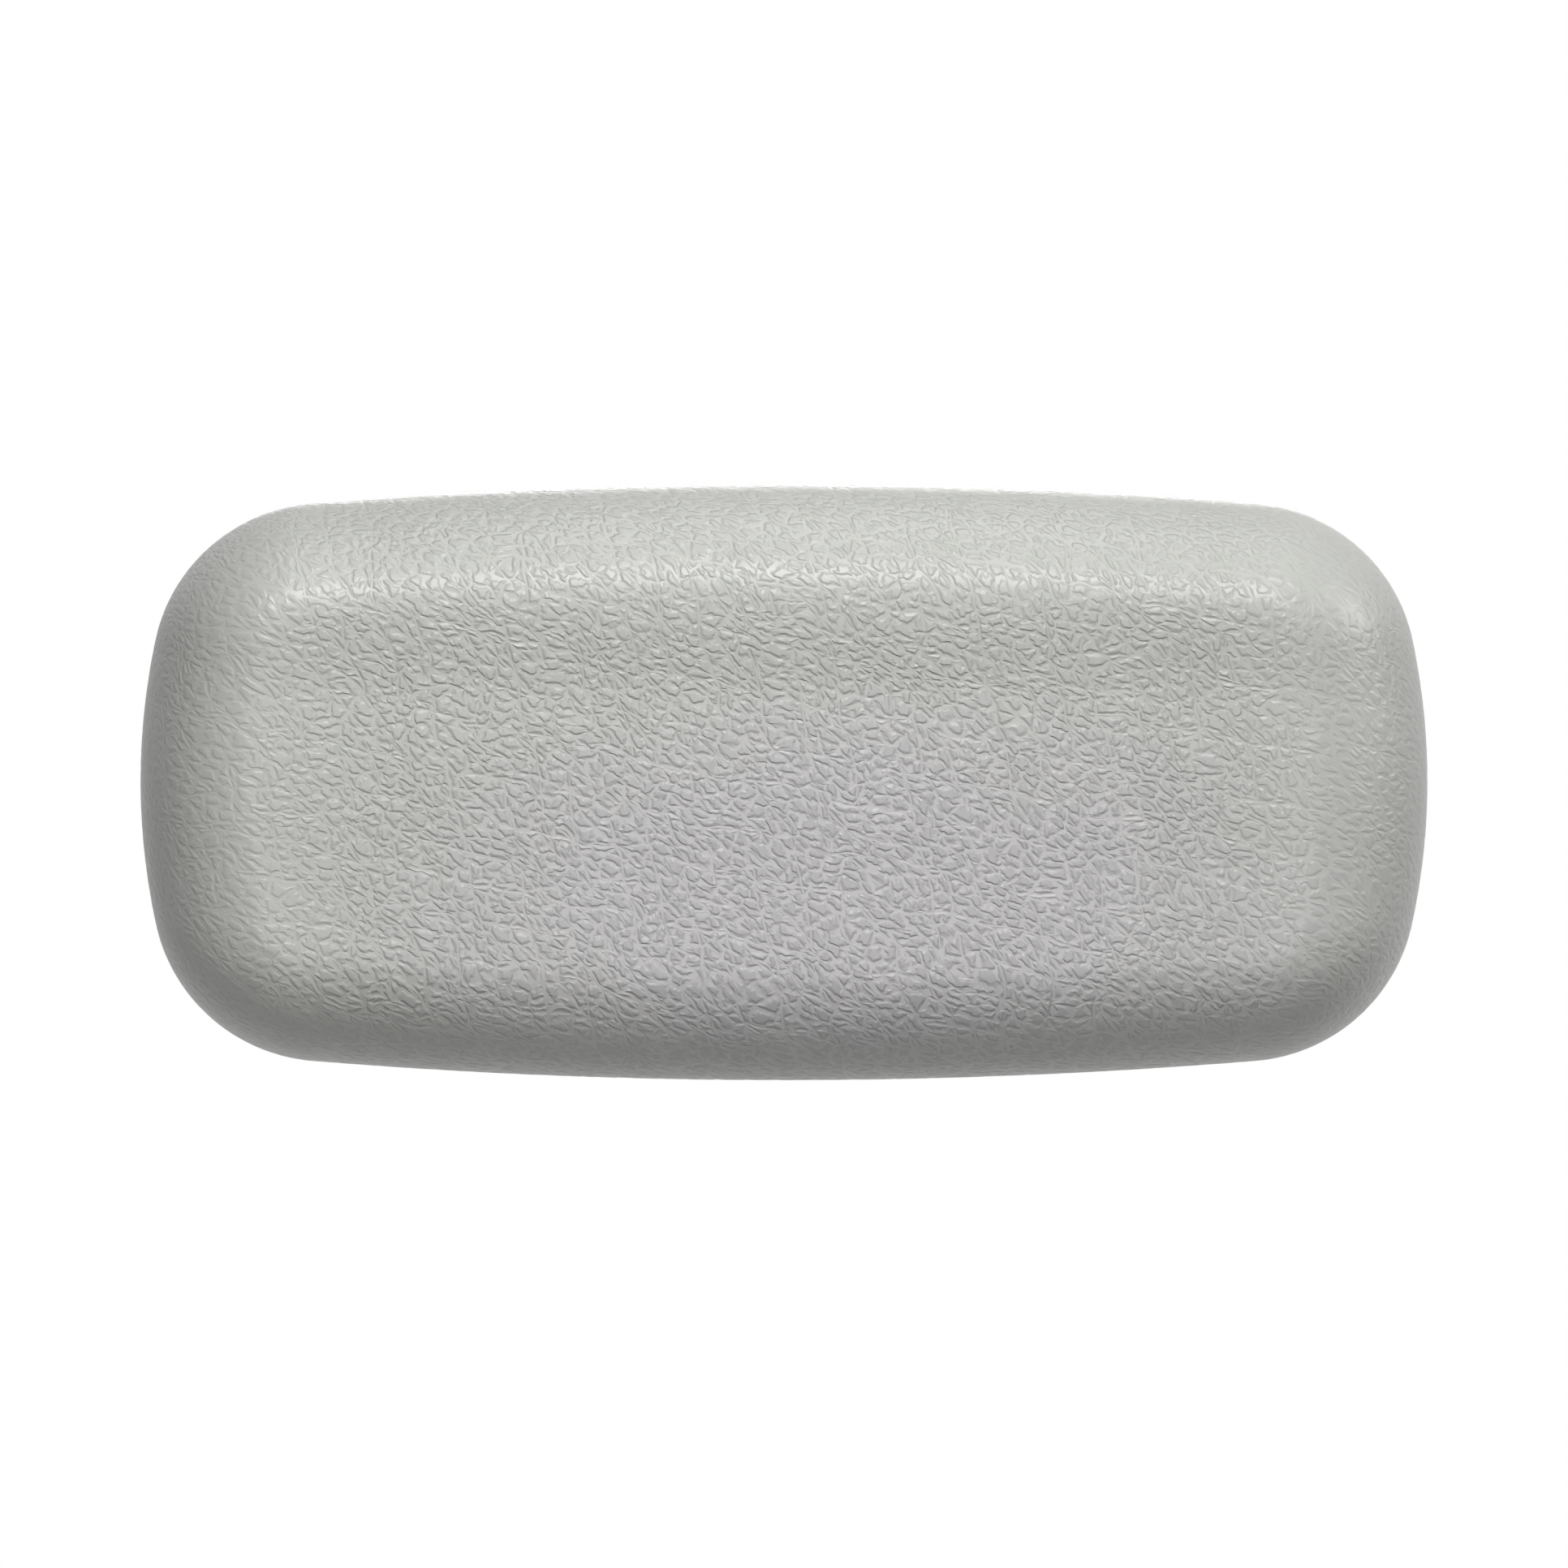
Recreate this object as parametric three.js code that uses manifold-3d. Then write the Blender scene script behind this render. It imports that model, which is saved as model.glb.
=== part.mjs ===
// A moulded bath pillow, held to the wall of the tub by two suction cups.
// X runs along the pillow, Y runs into the tub wall and Z is up. Sizes are in millimetres.
// The origin lies midway between the cups, in the plane of their rims.
// Depths are measured from the pillow's flat back towards the bather, and reaches from the rim plane.
import * as THREE from "three";
import { mergeVertices } from "three/addons/utils/BufferGeometryUtils.js";
import Module from "manifold-3d";

const wasm = await Module();
wasm.setup();

// Outline of the moulding, seen from the front
const pillowLength = 280;
const pillowHeight = 130;
const longSideRadius = 1250;
const endRadius = 145;
const cornerRadius = 38;

// Form of the face: a dish lengthwise, leaning forward to a low ridge along the top
const centreDepth = 45;
const lean = 3;
const ridgeRise = 2.4;
const ridgeFoot = 16;
const ridgeHeight = 42;
const dishDepth = 7;
const dishReach = 112;
const topRoll = 23;
const bottomRoll = 28;
const endRoll = 29;

// Back of the moulding
const partingDepth = 9;
const backEdgeInset = 8;
const skinThickness = 1.8;
const fitGap = 0.3;
const pocketRadius = 29;
const pocketDepth = 8;
const pocketEdgeRadius = 1.6;

// Suction cups
const cupSpacing = 140;
const cupStandOff = 12;
const cupRadius = 25;
const cupRimWidth = 1;
const cupRimThickness = 0.9;
const cupHollow = 8;
const cupCrown = 11.2;
const knobRadius = 8.5;
const knobFillet = 1.6;
const knobEdge = 0.7;
const tabWidth = 9;
const tabReach = 7;
const tabThickness = 1.3;
const tabRoot = 3;
const tabTipRadius = 4;

// Snap stud between cup and socket
const studHeadRadius = 6.5;
const studHeadLength = 5;
const studNeckRadius = 4.2;
const studFlangeRadius = 6.4;
const studFlangeThickness = 1.5;
const studStemRadius = 3;
const studBarbRadius = 4.4;
const studBarbLength = 2.4;
const studStemLength = 4.6;
const studEdge = 0.5;

// Socket moulded into the pillow, and the rubber ring that grips the stud
const mouthClearance = 0.5;
const mouthLip = 1.5;
const grooveDepth = 2.3;
const grooveWidth = 2.8;
const socketWall = 1.4;
const chamberLength = 7;
const chamberEnd = 2;
const flangeSide = 36;
const flangeThickness = 2.5;
const flangeCorner = 5;
const screwSpacing = 26;
const ringEdge = 0.5;

// Stiffener plate
const plateLength = 216;
const plateHeight = 78;
const plateThickness = 3;
const plateCorner = 24;
const keyRadius = 7;
const keySpacing = 24;
const keyRow = 24;
const keyColumns = 7;

// Screws
const screwRadius = 1.45;
const screwHeadRadius = 2.8;
const screwHeadHeight = 1.9;
const screwTip = 1.2;
const screwTipRadius = 0.4;
const screwHeadTopRadius = 2;

// Fineness
const endSteps = 2;
const cornerSteps = 6;
const longSteps = 4;
const rollSteps = 7;
const backSteps = 3;
const innerRings = 4;
const cupSegments = 36;
const boreSegments = 24;
const smallSegments = 12;
const holeSegments = 6;
const cornerSegments = 3;
const capSteps = 6;
const filletSteps = 3;
const overrun = 1;
const weldDistance = 0.0001;

// Places that follow from the sizes above
const halfLength = pillowLength / 2;
const halfHeight = pillowHeight / 2;
const cupPlaces = { left: -cupSpacing / 2, right: cupSpacing / 2 };
const backReach = cupStandOff;
const mouthReach = backReach + pocketDepth;
const plateReach = mouthReach + skinThickness + fitGap;
const flangeReach = plateReach + plateThickness + fitGap;
const mouthRadius = studHeadRadius + mouthClearance;
const grooveRadius = mouthRadius + grooveDepth;
const socketRadius = grooveRadius + socketWall;
const grooveReach = mouthReach + mouthLip;
const chamberReach = grooveReach + grooveWidth;
const chamberEndReach = chamberReach + chamberLength;
const socketEndReach = chamberEndReach + chamberEnd;
const ringReach = grooveReach + fitGap;
const ringThickness = grooveWidth - 2 * fitGap;
const studHeadReach = ringReach + ringThickness + fitGap;
const studFlangeReach = mouthReach - fitGap - studFlangeThickness;
const knobReach = studFlangeReach - fitGap;
const studBarbReach = studFlangeReach - studStemLength;
const barbTipReach = studBarbReach - studBarbLength;

// Materials
const plastic = (color, roughness) => new THREE.MeshStandardMaterial({ color, roughness, metalness: 0 });
const finishes = {
  skin: plastic(0xbbbbb7, 0.5),
  foam: plastic(0xe6dfc4, 0.95),
  plate: plastic(0x3a3c3e, 0.6),
  socket: plastic(0xd8d8d4, 0.45),
  ring: plastic(0x1d1d1f, 0.8),
  stud: plastic(0xf1f1ec, 0.35),
  cup: plastic(0xcfdde0, 0.2),
  screw: new THREE.MeshStandardMaterial({ color: 0xb4b6b9, roughness: 0.3, metalness: 1 }),
};

// Conversion between three.js geometry and manifold-3d solids

function solid(geometry) {
  const bare = geometry.clone();
  bare.deleteAttribute("normal");
  bare.deleteAttribute("uv");
  const merged = mergeVertices(bare, weldDistance);
  return new wasm.Manifold(new wasm.Mesh({
    numProp: 3,
    vertProperties: new Float32Array(merged.attributes.position.array),
    triVerts: new Uint32Array(merged.index.array),
  }));
}

function geometryOf(body) {
  const mesh = body.getMesh();
  const geometry = new THREE.BufferGeometry();
  geometry.setAttribute("position", new THREE.BufferAttribute(new Float32Array(mesh.vertProperties), 3));
  geometry.setIndex(new THREE.BufferAttribute(new Uint32Array(mesh.triVerts), 1));
  geometry.computeVertexNormals();
  return geometry;
}

// A solid turned about the Y axis, from [radius, reach] pairs from axis to axis or closed in a ring
function turned(profile, segments) {
  const points = profile.map(([radius, reach]) => new THREE.Vector2(radius, -reach));
  if (THREE.ShapeUtils.area(points) < 0) points.reverse();
  return new THREE.LatheGeometry(points, segments);
}

// A flat shape given thickness towards the bather, starting at a reach
function slab(shape, reach, thickness, curveSegments) {
  const geometry = new THREE.ExtrudeGeometry(shape, { depth: thickness, bevelEnabled: false, curveSegments });
  return geometry.rotateX(Math.PI / 2).translate(0, -reach, 0);
}

function roundedRectangle(width, height, radius) {
  const x = width / 2;
  const z = height / 2;
  const shape = new THREE.Shape();
  shape.absarc(x - radius, z - radius, radius, 0, Math.PI / 2);
  shape.absarc(radius - x, z - radius, radius, Math.PI / 2, Math.PI);
  shape.absarc(radius - x, radius - z, radius, Math.PI, 1.5 * Math.PI);
  shape.absarc(x - radius, radius - z, radius, 1.5 * Math.PI, 2 * Math.PI);
  return shape;
}

// Outline: two long arcs, two end arcs and four corner arcs that meet without a kink.
// A place on it is given by the direction in which it faces, as an angle from +X.

const cornerCentre = (() => {
  const fromTop = longSideRadius - cornerRadius;
  const fromEnd = endRadius - cornerRadius;
  const top = new THREE.Vector2(0, halfHeight - longSideRadius);
  const end = new THREE.Vector2(halfLength - endRadius, 0);
  const apart = top.distanceTo(end);
  const along = (fromTop ** 2 - fromEnd ** 2 + apart ** 2) / (2 * apart);
  const aside = Math.sqrt(fromTop ** 2 - along ** 2);
  const towards = end.clone().sub(top).normalize();
  const across = new THREE.Vector2(towards.y, -towards.x);
  return top.addScaledVector(towards, along).addScaledVector(across, aside);
})();
const endTurn = Math.atan2(cornerCentre.y, cornerCentre.x - (halfLength - endRadius));
const longTurn = Math.atan2(cornerCentre.y - (halfHeight - longSideRadius), cornerCentre.x);

function outlinePoint(angle, inset) {
  const facing = new THREE.Vector2(Math.cos(angle), Math.sin(angle));
  const turn = Math.atan2(Math.abs(facing.y), Math.abs(facing.x));
  let centre = cornerCentre;
  let radius = cornerRadius;
  if (turn <= endTurn) {
    centre = { x: halfLength - endRadius, y: 0 };
    radius = endRadius;
  } else if (turn >= longTurn) {
    centre = { x: 0, y: halfHeight - longSideRadius };
    radius = longSideRadius;
  }
  const x = centre.x + (radius - inset) * Math.cos(turn);
  const z = centre.y + (radius - inset) * Math.sin(turn);
  return { x: facing.x < 0 ? -x : x, z: facing.y < 0 ? -z : z };
}

function stepsBetween(from, to, count) {
  return Array.from({ length: count }, (_, i) => from + ((to - from) * i) / count);
}

const quarterTurns = [
  ...stepsBetween(0, endTurn, endSteps),
  ...stepsBetween(endTurn, longTurn, cornerSteps),
  ...stepsBetween(longTurn, Math.PI / 2, longSteps),
];
const mirroredTurns = quarterTurns.slice(1).reverse().map((turn) => Math.PI - turn);
const upperTurns = [...quarterTurns, Math.PI / 2, ...mirroredTurns];
const outlineTurns = [...upperTurns, ...upperTurns.map((turn) => turn + Math.PI)];

// Depth of the pillow's face at a place within the outline
function faceDepth(x, z) {
  const ridge = ridgeRise * THREE.MathUtils.smoothstep(z, ridgeFoot, ridgeHeight);
  return centreDepth + lean * (z / ridgeHeight) + ridge + dishDepth * (x / dishReach) ** 2;
}

function rollWidth(angle) {
  const upwards = Math.sin(angle);
  return endRoll + ((upwards > 0 ? topRoll : bottomRoll) - endRoll) * upwards ** 2;
}

function pointAt(x, z, depth) {
  return new THREE.Vector3(x, -(backReach + depth), z);
}

// Rings from the middle of the face round the roll to the parting line, `under` below the surface
function faceRings(under) {
  const rollRing = (turn) => outlineTurns.map((angle) => {
    const inset = under + (rollWidth(angle) - under) * (1 - Math.cos(turn));
    const { x, z } = outlinePoint(angle, inset);
    return pointAt(x, z, partingDepth + (faceDepth(x, z) - under - partingDepth) * Math.sin(turn));
  });
  const crest = rollRing(Math.PI / 2);
  const inner = stepsBetween(0, 1, innerRings + 1).slice(1).map((share) => crest.map((point) => {
    const x = point.x * share;
    const z = point.z * share;
    return pointAt(x, z, faceDepth(x, z) - under);
  }));
  const roll = stepsBetween(0, Math.PI / 2, rollSteps).reverse().map(rollRing);
  return [...inner, crest, ...roll];
}

// Rings from the parting line round the back edge to the flat back
function backRings(under) {
  return [...stepsBetween(0, Math.PI / 2, backSteps), Math.PI / 2].map((turn) => outlineTurns.map((angle) => {
    const inset = under + (backEdgeInset - under) * (1 - Math.cos(turn));
    const { x, z } = outlinePoint(angle, inset);
    return pointAt(x, z, partingDepth - (partingDepth - under) * Math.sin(turn));
  }));
}

// A closed surface through rings of equal count, with a point at each end
function ringSolid(firstPole, rings, lastPole) {
  const count = rings[0].length;
  const points = [firstPole, ...rings.flat(), lastPole];
  const index = [];
  const last = points.length - 1;
  const at = (ring, i) => 1 + ring * count + (i % count);
  for (let i = 0; i < count; i += 1) {
    index.push(0, at(0, i), at(0, i + 1));
    index.push(last, at(rings.length - 1, i + 1), at(rings.length - 1, i));
    for (let ring = 0; ring + 1 < rings.length; ring += 1) {
      index.push(at(ring, i), at(ring + 1, i), at(ring + 1, i + 1));
      index.push(at(ring, i), at(ring + 1, i + 1), at(ring, i + 1));
    }
  }
  const geometry = new THREE.BufferGeometry().setFromPoints(points);
  geometry.setIndex(index);
  geometry.computeVertexNormals();
  return geometry;
}

const faceMiddle = (under) => pointAt(0, 0, faceDepth(0, 0) - under);
const backMiddle = (under) => pointAt(0, 0, under);

// Grained skin: face and sides, down to the parting line
function faceSkin() {
  const rings = [...faceRings(0), ...faceRings(skinThickness).reverse()];
  return ringSolid(faceMiddle(0), rings, faceMiddle(skinThickness));
}

// A plain round solid about the Y axis
function drum(radius, fromReach, toReach, segments) {
  return turned([[0, fromReach], [radius, fromReach], [radius, toReach], [0, toReach]], segments);
}

// The pocket that a cup sits into, with an eased mouth
function pocketTool() {
  const mouth = backReach - overrun;
  const ease = [...stepsBetween(0, Math.PI / 2, filletSteps), Math.PI / 2].map((turn) => [
    pocketRadius + pocketEdgeRadius * (1 - Math.cos(turn)),
    backReach + pocketEdgeRadius * (1 - Math.sin(turn)),
  ]);
  return turned([
    [0, mouthReach],
    [pocketRadius, mouthReach],
    ...ease,
    [pocketRadius + pocketEdgeRadius, mouth],
    [0, mouth],
  ], cupSegments);
}

function atCups(geometry) {
  return Object.values(cupPlaces).map((x) => solid(geometry.clone().translate(x, 0, 0)));
}

// Smooth skin of the back, with its two pockets
function backSkin() {
  const [innerSeam, ...inner] = backRings(skinThickness);
  const [outerSeam, ...outer] = backRings(0);
  for (const point of [...innerSeam, ...outerSeam]) point.y += fitGap;
  const rings = [...inner.reverse(), innerSeam, outerSeam, ...outer];
  let body = solid(ringSolid(backMiddle(skinThickness), rings, backMiddle(0)));
  const floorReach = mouthReach + skinThickness;
  const wall = drum(pocketRadius + skinThickness, backReach + skinThickness / 2, floorReach, cupSegments);
  const opening = drum(socketRadius + fitGap, mouthReach - overrun, floorReach + overrun, boreSegments);
  for (const piece of atCups(wall)) body = body.add(piece);
  for (const tool of [pocketTool(), opening]) {
    for (const piece of atCups(tool)) body = body.subtract(piece);
  }
  return geometryOf(body);
}

function screwCorners() {
  const half = screwSpacing / 2;
  return [[half, half], [-half, half], [-half, -half], [half, -half]];
}

// Outline of the stiffener plate, pierced so that the foam grips it
function platePlan(grow) {
  const shape = roundedRectangle(plateLength + 2 * grow, plateHeight + 2 * grow, plateCorner + grow);
  for (let column = 0; column < keyColumns; column += 1) {
    const x = (column - (keyColumns - 1) / 2) * keySpacing;
    const besideSocket = Math.abs(Math.abs(x) - cupSpacing / 2) < (flangeSide + 2 * keyRadius) / 2;
    for (const z of besideSocket ? [] : [-keyRow, 0, keyRow]) {
      shape.holes.push(new THREE.Path().absarc(x, z, keyRadius - grow, 0, 2 * Math.PI, true));
    }
  }
  return shape;
}

function insertPlate() {
  const from = plateReach - overrun;
  const to = plateReach + plateThickness + overrun;
  const socketHole = drum(socketRadius + fitGap, from, to, boreSegments);
  const screwHole = drum(screwRadius + fitGap, from, to, smallSegments);
  const holes = [socketHole, ...screwCorners().map(([x, z]) => screwHole.clone().translate(x, 0, z))];
  let body = solid(slab(platePlan(0), plateReach, plateThickness, holeSegments));
  for (const hole of holes) {
    for (const piece of atCups(hole)) body = body.subtract(piece);
  }
  return geometryOf(body);
}

// Socket: a closed tube with a square flange, a mouth for the stud and a groove for the rubber ring
function socketOutside(grow) {
  const tube = drum(socketRadius + grow, mouthReach, socketEndReach + grow, boreSegments);
  const plan = roundedRectangle(flangeSide + 2 * grow, flangeSide + 2 * grow, flangeCorner + grow);
  const flange = slab(plan, flangeReach - grow, flangeThickness + 2 * grow, cornerSegments);
  return solid(tube).add(solid(flange));
}

function socket() {
  const bore = turned([
    [0, mouthReach - overrun],
    [mouthRadius, mouthReach - overrun],
    [mouthRadius, grooveReach],
    [grooveRadius, grooveReach],
    [grooveRadius, chamberReach],
    [mouthRadius, chamberReach],
    [mouthRadius, chamberEndReach],
    [0, chamberEndReach],
  ], boreSegments);
  const holeEnd = flangeReach + flangeThickness + overrun;
  const hole = drum(screwRadius + fitGap, flangeReach - overrun, holeEnd, smallSegments);
  let body = socketOutside(0).subtract(solid(bore));
  for (const [x, z] of screwCorners()) body = body.subtract(solid(hole.clone().translate(x, 0, z)));
  return geometryOf(body);
}

// Rubber ring that gives way as the stud's head passes
function gripRing() {
  const inner = studNeckRadius + fitGap;
  const outer = grooveRadius - fitGap;
  const near = ringReach;
  const far = ringReach + ringThickness;
  return turned([
    [inner + ringEdge, near],
    [outer, near],
    [outer, far],
    [inner + ringEdge, far],
    [inner, far - ringEdge],
    [inner, near + ringEdge],
    [inner + ringEdge, near],
  ], boreSegments);
}

// Snap stud: domed head, neck, stop flange, stem and barb
function cupStud() {
  const dome = stepsBetween(0, Math.PI / 2, capSteps).concat(Math.PI / 2).map((turn) => [
    studHeadRadius * Math.cos(turn),
    studHeadReach + studEdge + (studHeadLength - studEdge) * Math.sin(turn),
  ]);
  return turned([
    [0, barbTipReach],
    [studStemRadius - studEdge, barbTipReach],
    [studBarbRadius, studBarbReach - studEdge],
    [studBarbRadius, studBarbReach],
    [studStemRadius, studBarbReach],
    [studStemRadius, studFlangeReach],
    [studFlangeRadius - studEdge, studFlangeReach],
    [studFlangeRadius, studFlangeReach + studEdge],
    [studFlangeRadius, studFlangeReach + studFlangeThickness],
    [studNeckRadius, studFlangeReach + studFlangeThickness],
    [studNeckRadius, studHeadReach],
    [studHeadRadius, studHeadReach],
    ...dome,
  ], boreSegments);
}

// A stretch of a round cap, as [radius, reach] pairs from one radius to another
function capArc(rimRadius, rimReach, crownReach, fromRadius, toRadius) {
  const rise = crownReach - rimReach;
  const ball = (rimRadius ** 2 + rise ** 2) / (2 * rise);
  const turnAt = (radius) => Math.asin(radius / ball);
  return stepsBetween(turnAt(fromRadius), turnAt(toRadius), capSteps).concat(turnAt(toRadius)).map((turn) => [
    ball * Math.sin(turn),
    crownReach - ball * (1 - Math.cos(turn)),
  ]);
}

// Suction cup with a knob that turns on the stud, and a tab to peel it off
function suctionCup() {
  const hollow = capArc(cupRadius - cupRimWidth, 0, cupHollow, cupRadius - cupRimWidth, 0);
  const crown = capArc(cupRadius, cupRimThickness, cupCrown, knobRadius + knobFillet, cupRadius);
  const [, crownFoot] = crown[0];
  const fillet = stepsBetween(0, Math.PI / 2, filletSteps).map((turn) => [
    knobRadius + knobFillet * (1 - Math.cos(turn)),
    crownFoot + knobFillet * (1 - Math.sin(turn)),
  ]);
  const barbRoom = studBarbRadius + fitGap;
  const stemRoom = studStemRadius + fitGap;
  const body = solid(turned([
    [0, barbTipReach - fitGap],
    [barbRoom, barbTipReach - fitGap],
    [barbRoom, studBarbReach + fitGap],
    [stemRoom, studBarbReach + fitGap],
    [stemRoom, knobReach],
    [knobRadius - knobEdge, knobReach],
    [knobRadius, knobReach - knobEdge],
    ...fillet,
    ...crown,
    [cupRadius, 0],
    ...hollow,
  ], cupSegments));
  const tongue = new THREE.Shape();
  const tip = cupRadius + tabReach;
  const rootRadius = cupRadius - tabRoot;
  tongue.moveTo(-tabWidth / 2, -rootRadius);
  tongue.lineTo(-tabWidth / 2, tabTipRadius - tip);
  tongue.absarc(tabTipRadius - tabWidth / 2, tabTipRadius - tip, tabTipRadius, Math.PI, 1.5 * Math.PI);
  tongue.absarc(tabWidth / 2 - tabTipRadius, tabTipRadius - tip, tabTipRadius, 1.5 * Math.PI, 2 * Math.PI);
  tongue.lineTo(tabWidth / 2, -rootRadius);
  const tab = solid(slab(tongue, 0, tabThickness, holeSegments));
  const underRim = [[0, -overrun], [cupRadius - cupRimWidth, -overrun]];
  const roomInside = solid(turned([...underRim, ...hollow], cupSegments));
  return geometryOf(body.add(tab.subtract(roomInside)));
}

// Pan-head screw that holds the socket's flange to the plate
function screw() {
  const under = flangeReach + flangeThickness + fitGap;
  const point = plateReach + fitGap;
  return turned([
    [0, point],
    [screwTipRadius, point],
    [screwRadius, point + screwTip],
    [screwRadius, under],
    [screwHeadRadius, under],
    [screwHeadRadius, under + screwHeadHeight / 2],
    [screwHeadTopRadius, under + screwHeadHeight],
    [0, under + screwHeadHeight],
  ], smallSegments);
}

// Foam: fills the skins, and everything set into it is cut out with a gap
function foamCore() {
  const under = skinThickness + fitGap;
  const rings = [...faceRings(under), ...backRings(under).slice(1)];
  let body = solid(ringSolid(faceMiddle(under), rings, backMiddle(under)));
  const pocketRoom = drum(pocketRadius + under, backReach, mouthReach + under, cupSegments);
  for (const piece of atCups(pocketRoom)) body = body.subtract(piece);
  const plateRoom = slab(platePlan(fitGap), plateReach - fitGap, plateThickness + 2 * fitGap, holeSegments);
  body = body.subtract(solid(plateRoom));
  const headTop = flangeReach + flangeThickness + screwHeadHeight + 2 * fitGap;
  const screwRoom = drum(screwHeadRadius + fitGap, flangeReach, headTop, smallSegments);
  for (const x of Object.values(cupPlaces)) {
    body = body.subtract(socketOutside(fitGap).translate([x, 0, 0]));
    for (const [dx, dz] of screwCorners()) {
      body = body.subtract(solid(screwRoom).translate([x + dx, 0, dz]));
    }
  }
  return geometryOf(body);
}

// Assembly

const pillow = new THREE.Group();

function place(name, geometry, material, x = 0, z = 0) {
  const mesh = new THREE.Mesh(geometry, material);
  mesh.name = name;
  mesh.position.set(x, 0, z);
  pillow.add(mesh);
}

place("face_skin", faceSkin(), finishes.skin);
place("back_skin", backSkin(), finishes.skin);
place("foam_core", foamCore(), finishes.foam);
place("insert_plate", insertPlate(), finishes.plate);
for (const [side, x] of Object.entries(cupPlaces)) {
  place(`${side}_socket`, socket(), finishes.socket, x);
  place(`${side}_grip_ring`, gripRing(), finishes.ring, x);
  place(`${side}_cup_stud`, cupStud(), finishes.stud, x);
  place(`${side}_suction_cup`, suctionCup(), finishes.cup, x);
  screwCorners().forEach(([dx, dz], i) => {
    place(`${side}_socket_screw_${i + 1}`, screw(), finishes.screw, x + dx, dz);
  });
}

export default pillow;
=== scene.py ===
"""Looks of a moulded bath pillow: a dished face with a leather grain, and suction cups at the back.

Sizes are in millimetres where no comment says otherwise, and are turned into metres where a mesh
is made. As in the model, a reach is a distance from the tub wall towards the bather, along -Y.
"""

import math

import bmesh
import bpy
import numpy as np
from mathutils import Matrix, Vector
from mathutils.geometry import delaunay_2d_cdt

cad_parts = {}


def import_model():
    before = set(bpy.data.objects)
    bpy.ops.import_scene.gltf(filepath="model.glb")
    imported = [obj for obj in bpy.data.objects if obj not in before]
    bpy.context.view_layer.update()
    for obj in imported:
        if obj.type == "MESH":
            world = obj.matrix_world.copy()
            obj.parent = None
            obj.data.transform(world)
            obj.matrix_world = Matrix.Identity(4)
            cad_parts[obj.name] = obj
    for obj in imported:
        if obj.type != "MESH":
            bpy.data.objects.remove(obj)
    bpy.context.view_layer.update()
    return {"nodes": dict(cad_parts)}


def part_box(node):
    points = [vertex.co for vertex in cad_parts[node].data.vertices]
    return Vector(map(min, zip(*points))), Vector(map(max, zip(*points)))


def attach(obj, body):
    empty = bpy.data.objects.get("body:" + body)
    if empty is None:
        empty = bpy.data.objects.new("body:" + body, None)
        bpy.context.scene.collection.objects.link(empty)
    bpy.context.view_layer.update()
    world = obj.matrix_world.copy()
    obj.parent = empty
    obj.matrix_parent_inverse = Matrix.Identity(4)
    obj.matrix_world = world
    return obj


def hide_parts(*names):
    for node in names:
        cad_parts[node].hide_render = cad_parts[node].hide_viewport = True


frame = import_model()

MM = 0.001
QUARTER = math.pi / 2
FULL = 2 * math.pi
SIDES = ("left", "right")


def edges_mm(node):
    """Lowest and highest corner of a node of the frame, in millimetres."""
    low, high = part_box(node)
    return np.array(low) / MM, np.array(high) / MM


# Sizes read from the frame
FACE_HIGH = edges_mm("face_skin")[1]
BACK_HIGH = edges_mm("back_skin")[1]
STUD_LOW, STUD_HIGH = edges_mm("right_cup_stud")
HALF_LENGTH = FACE_HIGH[0]
HALF_HEIGHT = FACE_HIGH[2]
PARTING_REACH = -FACE_HIGH[1]
BACK_REACH = -BACK_HIGH[1]
CUP_X = (STUD_LOW[0] + STUD_HIGH[0]) / 2

# Groove between the two skins at the parting line, and how the face's lip is eased into it
PARTING_GROOVE = 0.3
LIP_EASE = 0.35
BACK_SEAM_REACH = PARTING_REACH - PARTING_GROOVE

# Outline, as in the model
LONG_RADIUS = 1250
END_RADIUS = 145
CORNER_RADIUS = 38

# Face: the model's form, adjusted to the light in the photo
CENTRE_DEPTH = 45
LEAN = 3
RIDGE_RISE = 2.4
RIDGE_FOOT = 16
RIDGE_HEIGHT = 40
DISH_DEPTH = 5.8
DISH_REACH = 112
END_RISE = 1.8
END_RISE_FOOT = 84
END_RISE_TOP = 112
LOW_RISE = 1.6
LOW_RISE_FOOT = 14
LOW_RISE_TOP = 42
TOP_ROLL = 26.5
BOTTOM_ROLL = 24.5
END_ROLL = 29

# Thickness of the skins, and the rounding of the back's edge
SKIN = 1.8
BACK_EDGE = 8

# Fineness of the face
OUTLINE_SAMPLES = 4001
ROLL_RINGS = 52
PANEL_COLUMNS = 300
PANEL_ROWS = 108
INNER_ROLL_RINGS = 3
INNER_PANEL_SHARES = (0.8, 0.6, 0.4, 0.2)

# Grain of the skin: size and reach of what bends it
SWIRL_SIZE, SWIRL_REACH = 16.0, 3.8
CROWD_SIZE, CROWD_REACH = 3.5, 1.1
RAGGED_SIZE, RAGGED_REACH = 1.05, 0.5
WORM_SIZE, WORM_REACH = 1.15, 1.2
WAVY_SIZE, WAVY_REACH = 4.0, 1.6

# Plates: direction in degrees, stretch along it, size, and where they rise from a channel
PLATE_DEGREES, PLATE_STRETCH = 25.0, 0.6
PLATE_SIZE, PLATE_UNEVENNESS = 2.3, 0.85
PLATE_SLOPE = (0.0, 0.8)

# Long creases: direction in degrees, spacing, and the place of the noise that says where they are
CREASE_ROWS = ((48.0, 4.5, 0.0), (78.0, 7.5, 30.0), (12.0, 8.5, 60.0))
CREASE_SLOPE = (0.05, 0.8)
CREASE_PATCH = 6.0
CREASE_PATCH_STRETCH = 0.45
CREASE_PATCH_EDGE = (0.42, 0.52)

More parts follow.
